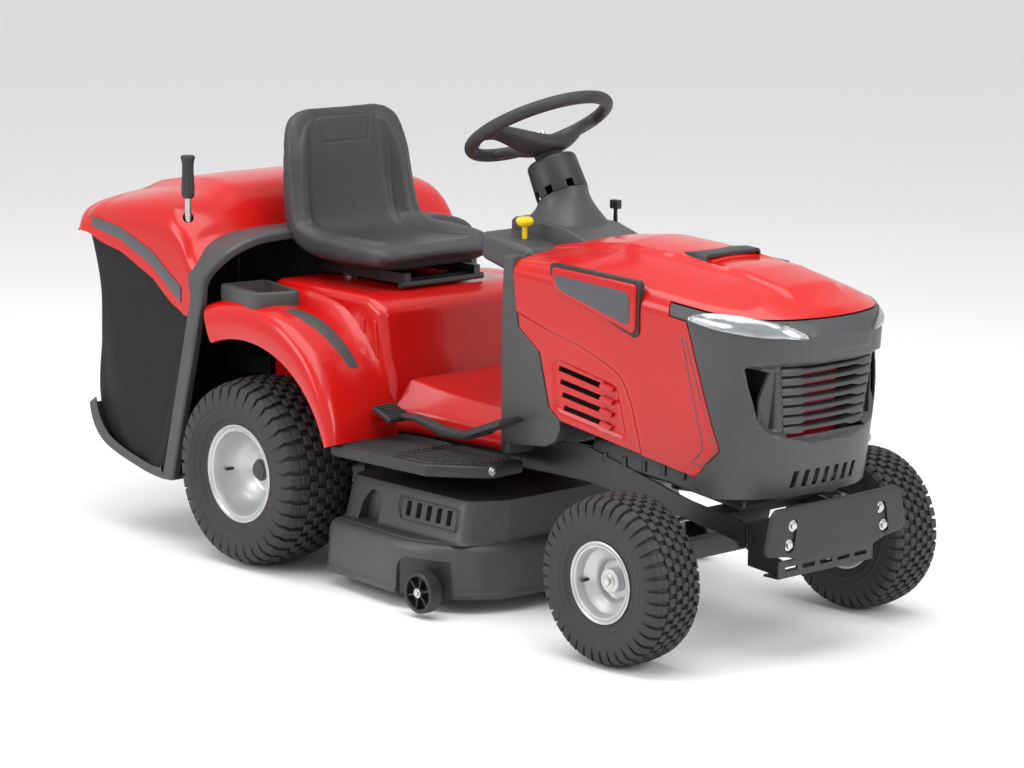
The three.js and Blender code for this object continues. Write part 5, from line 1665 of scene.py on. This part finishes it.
shell = skin("deck_made", [[(x, y, z) for x, y in deckOutline(grow)] for z, grow in deck["walls"]])
hollow = skin("cut", [[(x, y, z) for x, y in deckOutline(grow)]
                      for z, grow in ((20, -6), (130, -11), (149, -24))])
cutAway(shell, hollow)
pocket = [(124, 20), (318, 20), (318, 104), (306, 116), (150, 122), (132, 112), (124, 96)]
for low, high in ((-460, -372), (372, 460)):
    cutAway(shell, plate("cut", pocket, "Y", low, high))
bead = rod("bead", [(x, y, deck["beadHigh"]) for x, y in deckOutline(-30)], 2.2, closed=True)
fit(together("deck_made", shell, bead), "deck", charcoalPlastic, "charcoal_plastic", "deck_shell", angle=40)
# Walls close the pockets cut in the deck. They are real walls, but their black, darker than the deck's
# charcoal, is painted shade standing for the shadow inside the pockets.
walls = []
for side in (-1, 1):
    arc = [math.radians(between(276, 352, k / 24)) for k in range(25)]
    walls.append(skin("wall", [[(108 + r * math.cos(a), side * (-205 + r * math.sin(a)) * -1, z) for r, z in
                                ((213, 34), (217, 34), (217, 132), (213, 132))] for a in arc]))
fit(together("deck_pocket", *walls), "deck", blackPlastic, "black_plastic")

coverOutline = lambda grow, lean: rounded([(-150 + lean, -352 - grow), (262 - lean, -352 - grow),
                                           (300, -250), (300, 250), (262 - lean, 352 + grow),
                                           (-150 + lean, 352 + grow), (-162, 250), (-162, -250)], 34)
coverSkin = skin("deck_cover_made", [[(x, y, z) for x, y in coverOutline(grow, lean)] for z, grow, lean in
                                     ((154, 14, 0), (158, 4, 0), (164, 0, 0), (200, -8, 3), (236, -16, 6),
                                      (250, -26, 10))])
notches = []
for low, high in ((-420, -325), (325, 420)):
    notches += [plate("cut", [(64 + 34 * k, 190), (80 + 34 * k, 190), (80 + 34 * k, 224),
                              (64 + 34 * k, 224)], "Y", low, high)
                for k in range(5)]
    notches.append(plate("cut", rounded([(-94, 150), (-22, 150), (-22, 226), (-62, 230), (-84, 200)], 12),
                         "Y", low, high))
cutAway(coverSkin, *notches)
frames = []
for side in (-1, 1):
    ring = [(52, side * 350, 182), (40, side * 347, 204), (44, side * 343, 232), (236, side * 343, 232),
            (236, side * 350, 182)]
    frames.append(rod("edge", ring, 1.6, closed=True, sides=2))
fit(together("deck_cover_made", coverSkin, *frames), "deck", charcoalPlastic, "charcoal_plastic",
    "deck_cover", angle=40)

wheelAt = (231, -440, 58)
tread = spun("tread", [(37, -16), (44, -17), (46.5, -14), (47, -8), (47, 8), (46.5, 14), (44, 17), (39, 17),
                       (37, 15), (36.5, 4), (34, -2)], wheelAt, (0, -1, 0), 48)


def onRoller(angle, radius, y):
    return (wheelAt[0] + math.cos(angle) * radius, y, wheelAt[2] + math.sin(angle) * radius)


spokes = []
spokeSection = ((-2, -454), (2, -454), (2, -440), (-2, -440))
for k in range(6):
    a = k * math.pi / 3 + 0.3
    rings = [[onRoller(a + d / r, r, y) for d, y in spokeSection] for r in (9, 22, 37.5)]
    spokes.append(softEdges(skin("arm", rings), 0.8, 2))
hubPart = spun("hub", [(4, -15), (12, -15), (12, 14), (10, 16), (4, 16)], wheelAt, (0, -1, 0), 32)
web = spun("web", [(10, -3), (37, -3), (37, 0), (10, 0)], wheelAt, (0, -1, 0), 48)
roller = together("deck_wheel_made_right", tread, hubPart, web, *spokes)
pin = bolt("deck_wheel_bolt_right", (wheelAt[0], wheelAt[1] - 16, wheelAt[2]), (0, -1, 0), 13, 4)
for side, (first, second) in bothSides(roller, pin):
    fit(first, "deck_wheel_" + side, blackPlastic, "black_plastic", "deck_wheel_" + side)
    fit(second, "deck_wheel_" + side, zincPlate, "zinc_steel")
print("deck made")


# Parts that keep their own shape get rounded edges and a finish
bodyFinish = {
    "red_plastic": redCover, "charcoal_plastic": charcoalPlastic, "black_plastic": blackPlastic,
    "crimson_plastic": crimsonCover, "black_steel": blackSteel, "zinc_steel": zincPlate,
    "engine_casting": castAlloy,
    "rim": rimEnamel, "tyre": rubber, "seat_vinyl": vinyl, "mesh_fabric": meshCloth,
    "yellow_plastic": yellowPlastic,
    "lens": lens,
}
sharper = {"ignition_key": 0.8, "seat_spring": 0.4, "throttle_lever": 1.5, "steering_shaft": 0.8,
           "muffler": 5, "fuel_tank": 9,
           "transaxle": 5, "engine_block": 5, "blower_shroud": 6, "battery": 4, "blade_clutch_knob": 3}
for name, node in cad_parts.items():
    old = node.data.materials[0].name if node.data.materials else ""
    chosen = next((finish for slot, finish in bodyFinish.items() if old.startswith(slot)), blackSteel)
    node.data.materials.clear()
    node.data.materials.append(hotSteel if name == "muffler" else chosen)
    weld = node.modifiers.new("Weld", "WELD")
    weld.merge_threshold = 0.05 * mm
    flatten = node.modifiers.new("Flatten", "DECIMATE")
    flatten.decimate_type = "DISSOLVE"
    flatten.angle_limit = math.radians(1)
    edge = node.modifiers.new("Edges", "BEVEL")
    edge.width = sharper.get(name, 2) * mm
    edge.segments = 3
    edge.limit_method = "ANGLE"
    edge.angle_limit = math.radians(35)
    edge.harden_normals = False
print("kept parts finished")

bpy.context.scene.view_settings.view_transform = "Standard"
